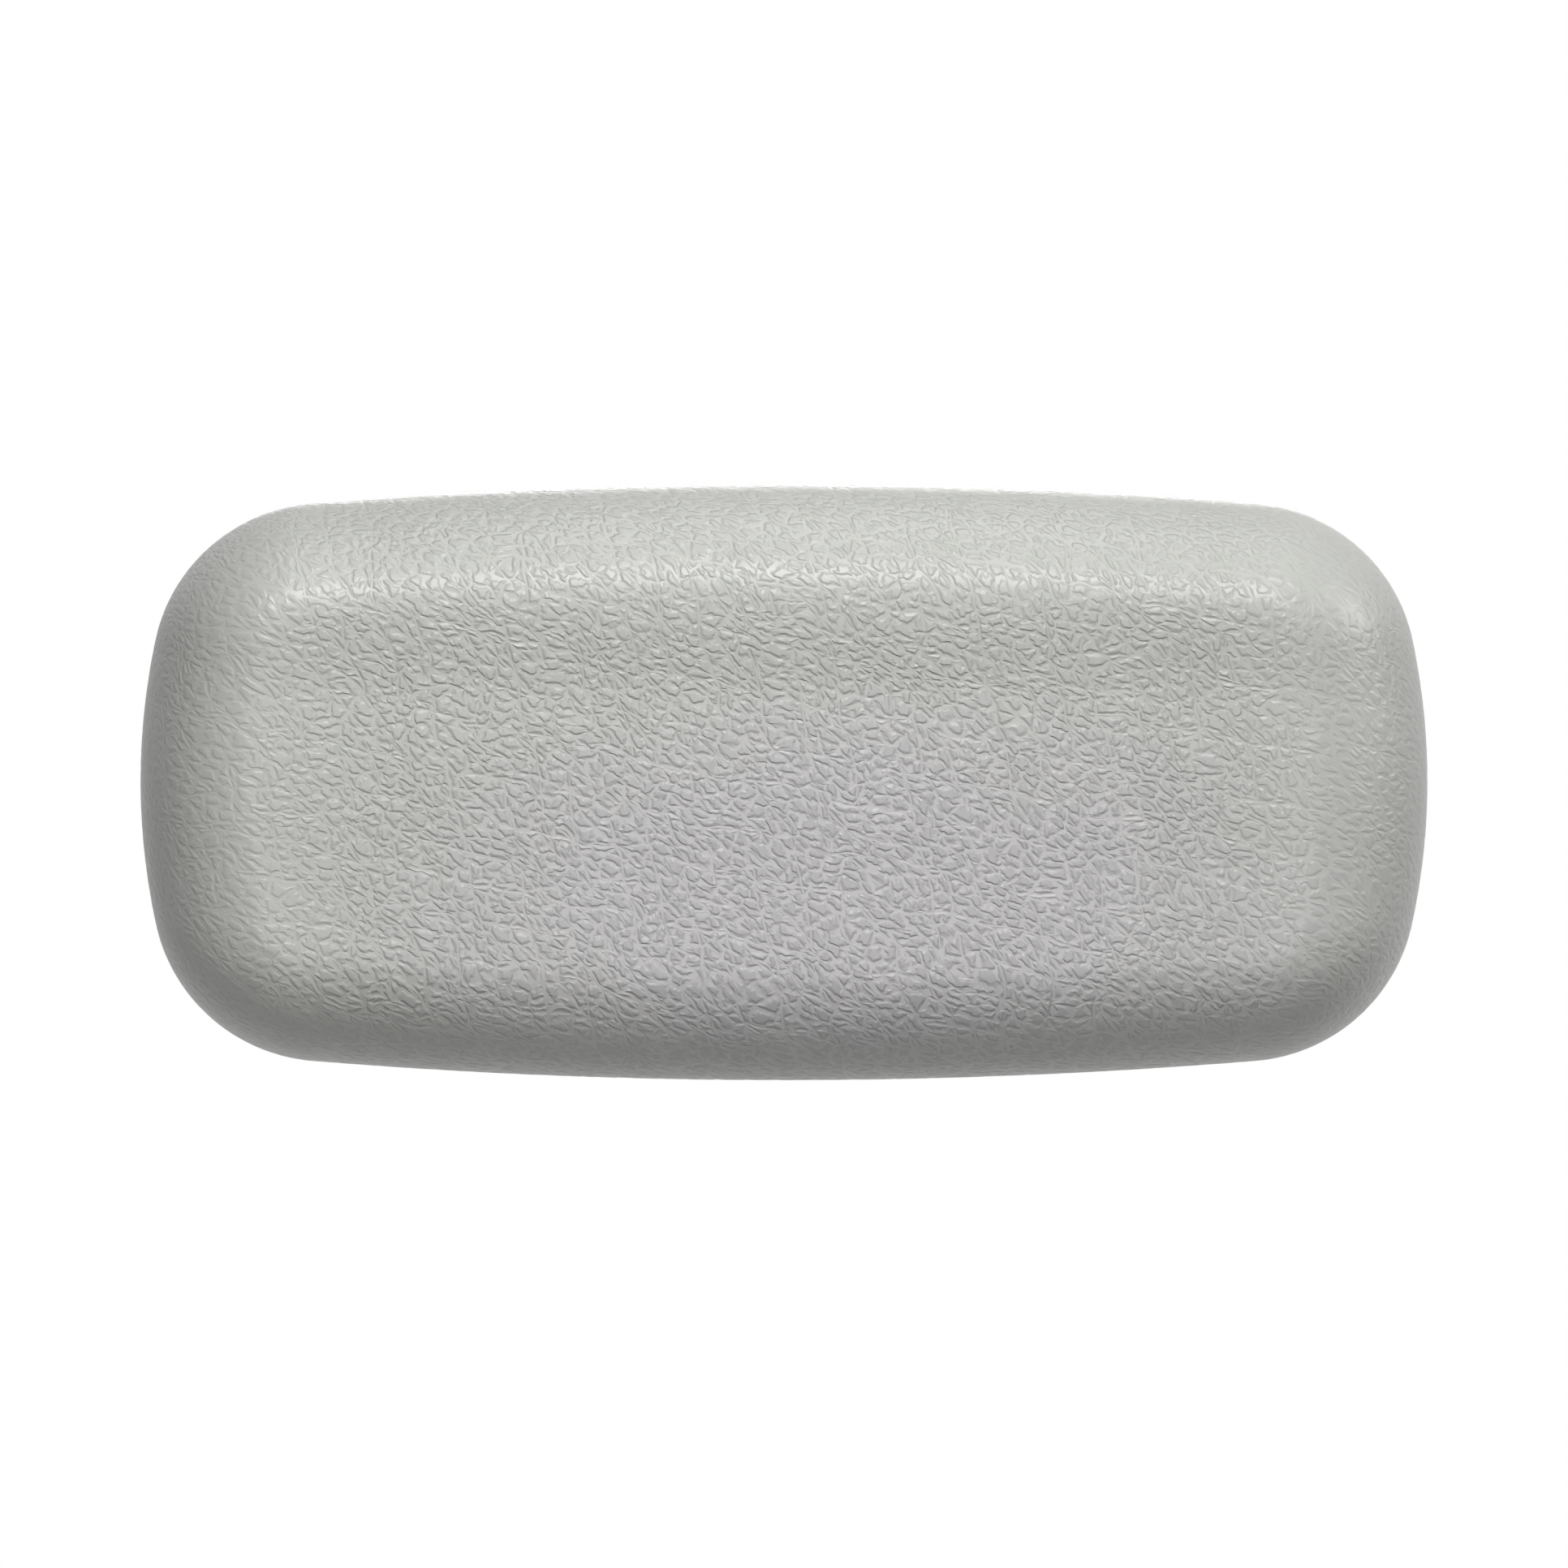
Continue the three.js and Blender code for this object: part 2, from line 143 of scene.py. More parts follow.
# Depths, and where the grain gets softer
GRAIN_BUMP = 0.3
GRAIN_RELIEF = 0.07
RELIEF_SLOPE = (0.0, 1.1)
END_SOFTNESS, END_SOFT_FROM, END_SOFT_TO = 0.45, 84, 118
CREST_SOFTNESS, CREST_HEIGHT, CREST_SPREAD = 0.15, 39, 12
EDGE_SOFTNESS, EDGE_SOFT_SHARE = 0.3, 0.15

# Laying the roll flat for the grain
ROLL_STEPS = 16
ROLL_STRETCH = 0.85

# Noise: its middle, and the ranges that it mostly keeps to
NOISE_MIDDLE = 0.5
NOISE_WIDE, NOISE_NARROW = (0.3, 0.7), (0.35, 0.65)


# Nodes


class Nodes:
    """Short ways to add nodes to a shader or geometry tree."""

    def __init__(self, tree):
        self.tree = tree

    def add(self, kind, inputs=(), output=0, **settings):
        node = self.tree.nodes.new(kind)
        for name, value in settings.items():
            setattr(node, name, value)
        for key, value in dict(inputs).items():
            self.feed(node.inputs[key], value)
        return node.outputs[output]

    def feed(self, socket, value):
        if isinstance(value, bpy.types.NodeSocket):
            self.tree.links.new(value, socket)
        else:
            socket.default_value = value

    def math(self, operation, a, b=0.0):
        return self.add("ShaderNodeMath", {0: a, 1: b}, operation=operation)

    def vector(self, operation, a, b=(0.0, 0.0, 0.0)):
        return self.add("ShaderNodeVectorMath", {0: a, 1: b}, operation=operation)

    def scaled(self, a, factor):
        return self.add("ShaderNodeVectorMath", {0: a, "Scale": factor}, operation="SCALE")

    def noise(self, place, size, detail=2.0, rough=0.5, colour=False, flat=False):
        inputs = {"Vector": place, "Scale": 1 / size, "Detail": detail, "Roughness": rough}
        output = "Color" if colour else 0
        dimensions = "2D" if flat else "3D"
        return self.add("ShaderNodeTexNoise", inputs, output, noise_dimensions=dimensions)

    def edges(self, inputs, size, dimensions):
        """Distance from the edges of cells of a size."""
        settings = {"feature": "DISTANCE_TO_EDGE", "voronoi_dimensions": dimensions}
        cells = self.add("ShaderNodeTexVoronoi", {**inputs, "Scale": 1 / size}, **settings)
        return self.math("MULTIPLY", cells, size)

    def step(self, value, low, high, to_low=0.0, to_high=1.0):
        inputs = {"Value": value, "From Min": low, "From Max": high}
        inputs.update({"To Min": to_low, "To Max": to_high})
        return self.add("ShaderNodeMapRange", inputs, interpolation_type="SMOOTHSTEP")

    def mix(self, factor, a, b):
        low = self.math("MULTIPLY", a, self.math("SUBTRACT", 1.0, factor))
        return self.math("ADD", low, self.math("MULTIPLY", b, factor))

    def turned(self, place, degrees, stretch):
        """A flat place turned, then drawn in, so that what is drawn there gets longer."""
        inputs = {"Vector": place, "Axis": (0.0, 0.0, 1.0), "Angle": math.radians(degrees)}
        along = self.add("ShaderNodeVectorRotate", inputs, rotation_type="AXIS_ANGLE")
        return self.vector("MULTIPLY", along, (stretch, 1.0, 1.0))


def bent(n, place, size, reach, detail):
    """A flat place moved about by slow noise, so that what is drawn there is bent."""
    cloud = n.noise(place, size, detail, colour=True, flat=True)
    drift = n.vector("SUBTRACT", cloud, (NOISE_MIDDLE,) * 3)
    return n.vector("ADD", place, n.scaled(drift, reach))


def plates(n, place):
    """Plates of uneven shape, from 0 in the channels between them to 1."""
    crowded = bent(n, place, CROWD_SIZE, CROWD_REACH, detail=0.0)
    ragged = bent(n, crowded, RAGGED_SIZE, RAGGED_REACH, detail=1.0)
    along = n.turned(ragged, PLATE_DEGREES, PLATE_STRETCH)
    cloud = n.noise(along, WORM_SIZE, detail=1.0, rough=0.4, flat=True)
    worms = n.math("SUBTRACT", cloud, NOISE_MIDDLE)
    cells = n.edges({"Vector": along, "Randomness": PLATE_UNEVENNESS}, PLATE_SIZE, "2D")
    return n.step(n.math("ADD", cells, n.math("MULTIPLY", worms, WORM_REACH)), *PLATE_SLOPE)


def long_creases(n, place, slope):
    """Long creases in a few directions, each in patches, from 0 in a crease to 1 beside it."""
    wavy = bent(n, place, WAVY_SIZE, WAVY_REACH, detail=2.0)
    lowest = 1.0
    for degrees, spacing, shift in CREASE_ROWS:
        along = n.turned(wavy, degrees, stretch=1.0)
        across = n.add("ShaderNodeSeparateXYZ", {0: along}, output=1)
        inside = n.math("SUBTRACT", 1.0, n.step(n.edges({"W": across}, spacing, "1D"), *slope))
        stretched = n.turned(place, degrees, CREASE_PATCH_STRETCH)
        moved = n.vector("ADD", stretched, (shift, shift, 0.0))
        patch = n.step(n.noise(moved, CREASE_PATCH, detail=1.0, flat=True), *CREASE_PATCH_EDGE)
        height = n.math("SUBTRACT", 1.0, n.math("MULTIPLY", inside, patch))
        lowest = n.math("MINIMUM", lowest, height)
    return lowest


def swirled(n, place):
    return bent(n, place, SWIRL_SIZE, SWIRL_REACH, detail=1.0)


def grain(n, place):
    """Height of the leather grain from 0 to 1, at a flat place in millimetres."""
    curved = swirled(n, place)
    return n.math("MINIMUM", plates(n, curved), long_creases(n, curved, CREASE_SLOPE))


# Meshes


def piece(name, verts_mm, faces, smooth=True):
    """An object from vertices in millimetres."""
    mesh = bpy.data.meshes.new(name)
    mesh.from_pydata((np.asarray(verts_mm, float) * MM).tolist(), [], faces)
    mesh.validate()
    mesh.polygons.foreach_set("use_smooth", [smooth] * len(mesh.polygons))
    mesh.update()
    obj = bpy.data.objects.new(name, mesh)
    bpy.context.scene.collection.objects.link(obj)
    return obj


def strip(first, second):
    """Quads between two closed rings of vertex numbers."""
    rows = zip(first, second, np.roll(second, -1), np.roll(first, -1))
    return [[int(number) for number in row] for row in rows]


def outward(obj):
    """Turns the faces of a closed mesh to the outside."""
    mesh = bmesh.new()
    mesh.from_mesh(obj.data)
    bmesh.ops.recalc_face_normals(mesh, faces=mesh.faces)
    mesh.to_mesh(obj.data)
    mesh.free()
    return obj


def store(obj, name, values, kind="FLOAT"):
    attribute = obj.data.attributes.new(name, kind, "POINT")
    key = "vector" if kind == "FLOAT_VECTOR" else "value"
    attribute.data.foreach_set(key, np.asarray(values, np.float32).ravel())


def settle(obj):
    """Puts what the modifiers make into the mesh itself."""
    bpy.context.view_layer.update()
    seen = obj.evaluated_get(bpy.context.evaluated_depsgraph_get())
    mesh = bpy.data.meshes.new_from_object(seen)
    obj.modifiers.clear()
    obj.data = mesh


# Outline: three tangent arcs a quarter, found by the direction in which a place on it faces


def corner_centre():
    """x and z of the centre of the corner's arc, which touches the long arc and the end's."""
    top = np.array([0.0, HALF_HEIGHT - LONG_RADIUS])
    end = np.array([HALF_LENGTH - END_RADIUS, 0.0])
    from_top = LONG_RADIUS - CORNER_RADIUS
    from_end = END_RADIUS - CORNER_RADIUS
    apart = np.linalg.norm(end - top)
    along = (from_top**2 - from_end**2 + apart**2) / (2 * apart)
    aside = math.sqrt(from_top**2 - along**2)
    towards = (end - top) / apart
    return top + along * towards + aside * np.array([towards[1], -towards[0]])


CORNER = corner_centre()
END_TURN = math.atan2(CORNER[1], CORNER[0] - (HALF_LENGTH - END_RADIUS))
LONG_TURN = math.atan2(CORNER[1] - (HALF_HEIGHT - LONG_RADIUS), CORNER[0])


def outline(angle, inset):
    """x and z of the outline moved in by an inset, where it faces along the angle."""
    facing_x, facing_z = np.cos(angle), np.sin(angle)
    turn = np.arctan2(np.abs(facing_z), np.abs(facing_x))
    on_end, on_long = turn <= END_TURN, turn >= LONG_TURN
    radius = np.where(on_end, END_RADIUS, np.where(on_long, LONG_RADIUS, CORNER_RADIUS)) - inset
    centre_x = np.where(on_end, HALF_LENGTH - END_RADIUS, np.where(on_long, 0.0, CORNER[0]))
    centre_z = np.where(on_end, 0.0, np.where(on_long, HALF_HEIGHT - LONG_RADIUS, CORNER[1]))
    x = centre_x + radius * np.cos(turn)
    z = centre_z + radius * np.sin(turn)
    return np.where(facing_x < 0, -x, x), np.where(facing_z < 0, -z, z)


def angle_at(share, inset):
    """The facing angle at a share of the way round the outline, counted from +X."""
    angles = np.linspace(0, FULL, OUTLINE_SAMPLES)
    x, z = outline(angles, inset)
    steps = np.hypot(np.diff(x), np.diff(z))
    travelled = np.concatenate([[0.0], np.cumsum(steps)])
    return np.interp(np.mod(share, 1.0), travelled / travelled[-1], angles)


def smoothstep(value, low, high):
    t = np.clip((value - low) / (high - low), 0, 1)
    return t * t * (3 - 2 * t)


def face_depth(x, z):
    """How far the face stands before the flat back."""
    ridge = RIDGE_RISE * smoothstep(z, RIDGE_FOOT, RIDGE_HEIGHT)
    dish = DISH_DEPTH * (x / DISH_REACH) ** 2
    ends = END_RISE * smoothstep(np.abs(x), END_RISE_FOOT, END_RISE_TOP)
    low = LOW_RISE * smoothstep(-z, LOW_RISE_FOOT, LOW_RISE_TOP)
    return CENTRE_DEPTH + LEAN * z / RIDGE_HEIGHT + ridge + dish + ends + low


def roll_width(angle):
    """Width of the roll round the panel, which differs between the top, the bottom and the ends."""
    upwards = np.sin(angle)
    side = np.where(upwards > 0, TOP_ROLL, BOTTOM_ROLL)
    return END_ROLL + (side - END_ROLL) * upwards**2


def roll_points(angle, turn, under):
    """Points of the roll, from the parting line at turn 0 to the crest at a quarter turn."""
    inset = under + (roll_width(angle) - under) * (1 - np.cos(turn))
    x, z = outline(angle, inset)
    parting = PARTING_REACH - BACK_REACH
    depth = parting + (face_depth(x, z) - under - parting) * np.sin(turn)
    return np.stack([x, -(BACK_REACH + depth), z], axis=-1)


def panel_points(angle, share_x, share_z, under):
    """Points of the dished panel, as the crest line drawn in towards the middle."""
    crest = roll_points(angle, QUARTER, under)
    x, z = crest[..., 0] * share_x, crest[..., 2] * share_z
    return np.stack([x, -(BACK_REACH + face_depth(x, z) - under), z], axis=-1)


def roll_length(angle, turn):
    """Length over the roll from the crest down to a turn."""
    crest = roll_points(angle, QUARTER, 0.0)
    width, depth = roll_width(angle), -crest[..., 1] - PARTING_REACH
    length = 0.0
    for step in range(ROLL_STEPS):
        here = turn + (QUARTER - turn) * (step + 0.5) / ROLL_STEPS
        length = length + np.hypot(width * np.sin(here), depth * np.cos(here))
    return length * (QUARTER - turn) / ROLL_STEPS


# Face of the pillow


def face_grid():
    """Vertices of the outside as a grid, of which the outer rings run round the roll."""
    columns = PANEL_COLUMNS + 2 * ROLL_RINGS
    rows = PANEL_ROWS + 2 * ROLL_RINGS
    i, j = np.meshgrid(np.arange(columns + 1), np.arange(rows + 1), indexing="ij")
    ring = np.minimum(np.minimum(i, columns - i), np.minimum(j, rows - j))
    end_share = PANEL_ROWS / (PANEL_COLUMNS + PANEL_ROWS) / 4
    long_share = 0.5 - 2 * end_share
    across = (i - ring) / np.maximum(columns - 2 * ring, 1)
    up = (j - ring) / np.maximum(rows - 2 * ring, 1)
    left_share = 0.5 + end_share - 2 * end_share * up
    right_share = -end_share + 2 * end_share * up
    share = np.where(ring == i, left_share, right_share)
    share = np.where(ring == rows - j, 0.5 - end_share - long_share * across, share)
    share = np.where(ring == j, 0.5 + end_share + long_share * across, share)
    angle = angle_at(share, TOP_ROLL / 2)
    lip_turn = LIP_EASE / (CENTRE_DEPTH + BACK_REACH - PARTING_REACH)
    turn = lip_turn + (QUARTER - lip_turn) * np.minimum(ring / ROLL_RINGS, 1.0)
    roll = roll_points(angle, turn, 0.0)
    inward = np.maximum(ring - ROLL_RINGS, 0)
    share_x = 1 - inward / (PANEL_COLUMNS / 2)
    share_z = 1 - inward / (PANEL_ROWS / 2)
    panel = panel_points(angle, share_x, share_z, 0.0)
    points = np.where((ring < ROLL_RINGS)[..., None], roll, panel)
    return points, angle, turn


def laid_flat(points, angle, turn):
    """The places of the face's grid on the skin laid flat, for the grain."""
    crest = roll_points(angle, QUARTER, 0.0)
    length = ROLL_STRETCH * roll_length(angle, turn)
    flat_x = np.where(turn < QUARTER, crest[..., 0] + np.cos(angle) * length, points[..., 0])
    flat_z = np.where(turn < QUARTER, crest[..., 2] + np.sin(angle) * length, points[..., 2])
    return np.stack([flat_x, flat_z, np.zeros_like(flat_x)], axis=-1)


def grain_amount(points, turn):
    """Share of the grain's depth: less towards the ends, the crest and the parting line."""
    ends = 1 - END_SOFTNESS * smoothstep(np.abs(points[..., 0]), END_SOFT_FROM, END_SOFT_TO)
    crest = smoothstep(CREST_SPREAD - np.abs(points[..., 2] - CREST_HEIGHT), 0, CREST_SPREAD)
    edge = smoothstep(turn / QUARTER, EDGE_SOFT_SHARE, 0)
    return ends * (1 - CREST_SOFTNESS * crest) * (1 - EDGE_SOFTNESS * edge)


def inner_rings(angle):
    """Rings that close the skin: the lip at the parting line, then the inside of roll and panel."""
    lip_x, lip_z = outline(angle, LIP_EASE)
    lip = np.stack([lip_x, np.full_like(lip_x, -PARTING_REACH), lip_z], axis=-1)
    turns = np.linspace(0, QUARTER, INNER_ROLL_RINGS + 1)
    roll = [roll_points(angle, turn, SKIN) for turn in turns]
    panel = [panel_points(angle, share, share, SKIN) for share in INNER_PANEL_SHARES]
    return [lip] + roll + panel


def face_skin():
    """The grained skin as a closed shell, with a fine outside and a plain inside."""
    points, angle, turn = face_grid()
    index = np.arange(turn.size).reshape(turn.shape)
    corners = [index[:-1, :-1], index[1:, :-1], index[1:, 1:], index[:-1, 1:]]
    faces = np.stack([c.ravel() for c in corners], axis=-1).tolist()
    rim = np.concatenate([index[:-1, 0], index[-1, :-1], index[:0:-1, -1], index[0, :0:-1]])
    verts = [points.reshape(-1, 3)]
    previous, start = rim, index.size
    for layer in inner_rings(angle.reshape(-1)[rim]):
        current = np.arange(start, start + len(rim))
        verts.append(layer)
        faces += strip(previous, current)
        previous, start = current, start + len(rim)
    verts.append(np.array([[0.0, -(BACK_REACH + face_depth(0.0, 0.0) - SKIN), 0.0]]))
    faces += [[start, int(b), int(a)] for a, b in zip(previous, np.roll(previous, -1))]
    obj = piece("pillow_face", np.concatenate(verts), faces)
    store_grain(obj, points, angle, turn, rim)
    return obj


def store_grain(obj, points, angle, turn, rim):
    """Stores the flat places and the grain's amount, both 0 on the lip and the inside."""
    count = len(obj.data.vertices)
    amount = np.zeros(count)
    amount[: turn.size] = grain_amount(points, turn).reshape(-1)
    amount[rim] = 0.0
    flat = np.zeros((count, 3))
    flat[: turn.size] = laid_flat(points, angle, turn).reshape(-1, 3)
    store(obj, "flat_place", flat, "FLOAT_VECTOR")
    store(obj, "grain_amount", amount)


def raise_grain(obj):
    """Moves the vertices of the face out by the height of the grain."""
    tree = bpy.data.node_groups.new("grain_relief", "GeometryNodeTree")
    tree.interface.new_socket("Geometry", in_out="INPUT", socket_type="NodeSocketGeometry")
    tree.interface.new_socket("Geometry", in_out="OUTPUT", socket_type="NodeSocketGeometry")
    n = Nodes(tree)
    stored = "GeometryNodeInputNamedAttribute"
    place = n.add(stored, {"Name": "flat_place"}, data_type="FLOAT_VECTOR")
    amount = n.add(stored, {"Name": "grain_amount"}, data_type="FLOAT")
    height = n.math("SUBTRACT", long_creases(n, swirled(n, place), RELIEF_SLOPE), 1.0)
    lift = n.math("MULTIPLY", n.math("MULTIPLY", height, amount), GRAIN_RELIEF * MM)
    offset = n.scaled(n.add("GeometryNodeInputNormal"), lift)
    source = tree.nodes.new("NodeGroupInput").outputs[0]
    moved = n.add("GeometryNodeSetPosition", {"Geometry": source, "Offset": offset})
    n.feed(tree.nodes.new("NodeGroupOutput").inputs[0], moved)
    modifier = obj.modifiers.new("grain_relief", "NODES")
    modifier.node_group = tree
    settle(obj)


# Back of the pillow, with its two pockets

POCKET_RADIUS = 29
POCKET_DEPTH = 8
POCKET_EASE = 1.6
POCKET_FLOOR_EASE = 1.2
POCKET_HOLE = 11
POCKET_STEPS = 7
POCKET_SEGMENTS = 120
BACK_COLUMNS = 420
BACK_RINGS = 14
BACK_BEVEL, BACK_BEVEL_DEGREES = 0.3, 60

# How far an eased corner may reach along its sides
EASE_SHARE = 0.45

# Filling of a flat area: spacing of its points, and how far they stay from an edge
FILL_SPACING = 4.0
FILL_CLEAR_SHARE = 0.7

# Distances that count as none, and what keeps a division from failing
SAME_PLACE, ON_AXIS = 0.0001, 1e-6
TINY = 1e-12


def eased(profile, radius, steps=4):
    """A profile whose corners, apart from its two ends, are rounded as far as their sides allow."""
    points = [np.array(p, float) for p in profile]
    rounded = [points[0]]
    for before, corner, after in zip(points, points[1:], points[2:]):
        side_in, side_out = np.linalg.norm(before - corner), np.linalg.norm(after - corner)
        reach = min(radius, EASE_SHARE * min(side_in, side_out))
        start = corner + (before - corner) / side_in * reach
        end = corner + (after - corner) / side_out * reach
        for t in np.linspace(0, 1, steps):
            rounded.append((1 - t) ** 2 * start + 2 * t * (1 - t) * corner + t**2 * end)
    return rounded + [points[-1]]


def circle(x, radius, reach, segments):
    angle = np.linspace(0, FULL, segments, endpoint=False)
    y = np.full(segments, -float(reach))
    return np.stack([x + radius * np.cos(angle), y, radius * np.sin(angle)], axis=-1)


def filled(loops):
    """Points and triangles of a flat area between an outer loop and the holes inside it."""
    plan = [loop[:, (0, 2)] for loop in loops]
    low, high = plan[0].min(axis=0), plan[0].max(axis=0)
    lines = [np.arange(low[axis], high[axis], FILL_SPACING) for axis in (0, 1)]
    grid = np.stack([line.ravel() for line in np.meshgrid(*lines)], axis=-1)
    edge_points = np.concatenate(plan)
    away = np.min(np.linalg.norm(grid[:, None] - edge_points[None], axis=-1), axis=1)
    kept = grid[(away > FILL_CLEAR_SHARE * FILL_SPACING) & inside(grid, plan)]
    points = np.concatenate([edge_points, kept])
    edges, start = [], 0
    for loop in plan:
        edges += [(start + i, start + (i + 1) % len(loop)) for i in range(len(loop))]
        start += len(loop)
    flat = [Vector(p) for p in points.tolist()]
    triangles = np.array(delaunay_2d_cdt(flat, edges, [], 0, SAME_PLACE)[2])
    middles = points[triangles].mean(axis=1)
    return kept, triangles[inside(middles, plan)]


def inside(points, plan):
    """Whether points are in the first loop and in none of the others."""
    held = in_loop(points, plan[0])
    for hole in plan[1:]:
        held &= ~in_loop(points, hole)
    return held


def in_loop(points, loop):
    """Whether points are inside a loop, by how often a ray from each crosses it."""
    crossings = np.zeros(len(points), int)
    for a, b in zip(loop, np.roll(loop, -1, axis=0)):
        spans = (a[1] > points[:, 1]) != (b[1] > points[:, 1])
        if spans.any():
            at = a[0] + (points[:, 1] - a[1]) * (b[0] - a[0]) / (b[1] - a[1] + TINY)
            crossings += spans & (points[:, 0] < at)
    return crossings % 2 == 1


def back_edge_points(angle, turn):
    """Points of the rounded edge, from the parting line at turn 0 to the flat back."""
    inset = BACK_EDGE * (1 - math.cos(turn))
    x, z = outline(angle, inset)
    depth = (BACK_SEAM_REACH - BACK_REACH) * (1 - math.sin(turn))
    return np.stack([x, np.full_like(x, -(BACK_REACH + depth)), z], axis=-1)


def pocket_profile():
    """Radius and reach from the eased mouth down the wall and over the bottom to its hole."""
    bottom = BACK_REACH + POCKET_DEPTH
    mouth, foot = [], []
    for turn in np.linspace(0, QUARTER, POCKET_STEPS):
        over, past = 1 - math.sin(turn), 1 - math.cos(turn)
        mouth.append((POCKET_RADIUS + POCKET_EASE * over, BACK_REACH + POCKET_EASE * past))
        foot.append((POCKET_RADIUS - POCKET_FLOOR_EASE * past, bottom - POCKET_FLOOR_EASE * over))
    radii = np.linspace(POCKET_RADIUS - POCKET_FLOOR_EASE, POCKET_HOLE, POCKET_STEPS)[1:]
    return mouth + foot + [(radius, bottom) for radius in radii]


def numbered(rings, start):
    """The vertex numbers of rings that follow one another."""
    count = len(rings[0])
    return [np.arange(start + k * count, start + (k + 1) * count) for k in range(len(rings))]


def back_skin():
    """The smooth skin of the back: its rounded edge, the two pockets and the flat between them."""
    angle = angle_at(np.linspace(0, 1, BACK_COLUMNS, endpoint=False), BACK_EDGE / 2)
    turns = np.linspace(0, QUARTER, BACK_RINGS)
    groups = [[back_edge_points(angle, turn) for turn in turns]]
    for x in (-CUP_X, CUP_X):
        profile = pocket_profile()
        groups.append([circle(x, radius, reach, POCKET_SEGMENTS) for radius, reach in profile])
    verts, faces, start = [], [], 0
    rim_numbers, rims = [], []
    # The flat meets the last ring of the edge and the first of each pocket
    for rings, meeting in zip(groups, (-1, 0, 0)):
        numbers = numbered(rings, start)
        verts += rings
        start += len(rings) * len(rings[0])
        rim_numbers.append(numbers[meeting])
        rims.append(rings[meeting])
        for first, second in zip(numbers, numbers[1:]):
            faces += strip(first, second)
    kept, triangles = filled(rims)
    number = np.concatenate(rim_numbers + [np.arange(start, start + len(kept))])
    faces += number[triangles].tolist()
    verts.append(np.stack([kept[:, 0], np.full(len(kept), -BACK_REACH), kept[:, 1]], axis=-1))
    obj = piece("pillow_back", np.concatenate(verts), faces)
    outward_by(obj, (0.0, -PARTING_REACH * MM, 0.0))
    thicken(obj, SKIN)
    place = np.array([vertex.co for vertex in obj.data.vertices]) / MM
    store(obj, "rest_place", place, "FLOAT_VECTOR")
    return obj


def outward_by(obj, centre):
    """Turns the faces of an open shell so that most of them face away from a point."""
    outward(obj)
    facing = 0.0
    for polygon in obj.data.polygons:
        facing += polygon.area * polygon.normal.dot(polygon.center - Vector(centre))
    if facing < 0:
        obj.data.flip_normals()


def thicken(obj, thickness):
    """Gives an open shell its thickness, inwards, with a small bevel along its edges."""
    solidify = obj.modifiers.new("thickness", "SOLIDIFY")
    solidify.thickness = thickness * MM
    solidify.offset = -1
    bevel = obj.modifiers.new("edges", "BEVEL")
    bevel.width = BACK_BEVEL * MM
    bevel.segments = 2
    bevel.limit_method = "ANGLE"
    bevel.angle_limit = math.radians(BACK_BEVEL_DEGREES)
    settle(obj)


# Foam inside

FOAM_VOXEL = 1.6


def foam():
    """The foam's own solid, with its edges evened out."""
    source = frame["nodes"]["foam_core"]
    obj = bpy.data.objects.new("foam_pad", source.data.copy())
    bpy.context.scene.collection.objects.link(obj)
    remesh = obj.modifiers.new("even", "REMESH")
    remesh.mode = "VOXEL"
    remesh.voxel_size = FOAM_VOXEL * MM
    remesh.use_smooth_shade = True
    settle(obj)
    obj.data.materials.clear()
    return obj


# Turned parts: profiles are pairs of radius and reach

LATHE_SEGMENTS = 96
SHARP_DEGREES = 50


def lathe(name, profile, x, segments=LATHE_SEGMENTS):
    """A closed solid turned about Y at x. Its profile runs from axis to axis, or in a ring."""
    verts, rings = [], []
    for radius, reach in profile:
        if radius < ON_AXIS:
            rings.append(np.full(segments, len(verts)))
            verts.append((x, -reach, 0.0))
            continue
        rings.append(np.arange(len(verts), len(verts) + segments))
        verts += circle(x, radius, reach, segments).tolist()
    faces = []
    for first, second in zip(rings, rings[1:]):
        faces += [list(dict.fromkeys(face)) for face in strip(first, second)]
    return outward(piece(name, verts, faces))


def ring_profile(profile, radius):
    """A profile in a ring, with all of its corners rounded."""
    around = profile + profile[:2]
    rounded = eased(around, radius)[1:-1]
    return rounded + [rounded[0]]


# Snap stud, from the barb in the cup to the head in the socket
STUD_TIP, STUD_TIP_RADIUS = 11.2, 2.5
STUD_BARB, STUD_BARB_RADIUS, STUD_BARB_EDGE = 13.6, 4.4, 0.5
STUD_STEM_RADIUS = 3.0
STUD_FLANGE, STUD_FLANGE_RADIUS, STUD_FLANGE_THICKNESS = 18.2, 6.4, 1.5
STUD_NECK_END, STUD_NECK_RADIUS = 24.3, 4.2
STUD_HEAD_RADIUS, STUD_HEAD_EDGE, STUD_HEAD_RISE = 6.5, 0.5, 4.5
STUD_HEAD_STEPS = 12
STUD_EASE = 0.3


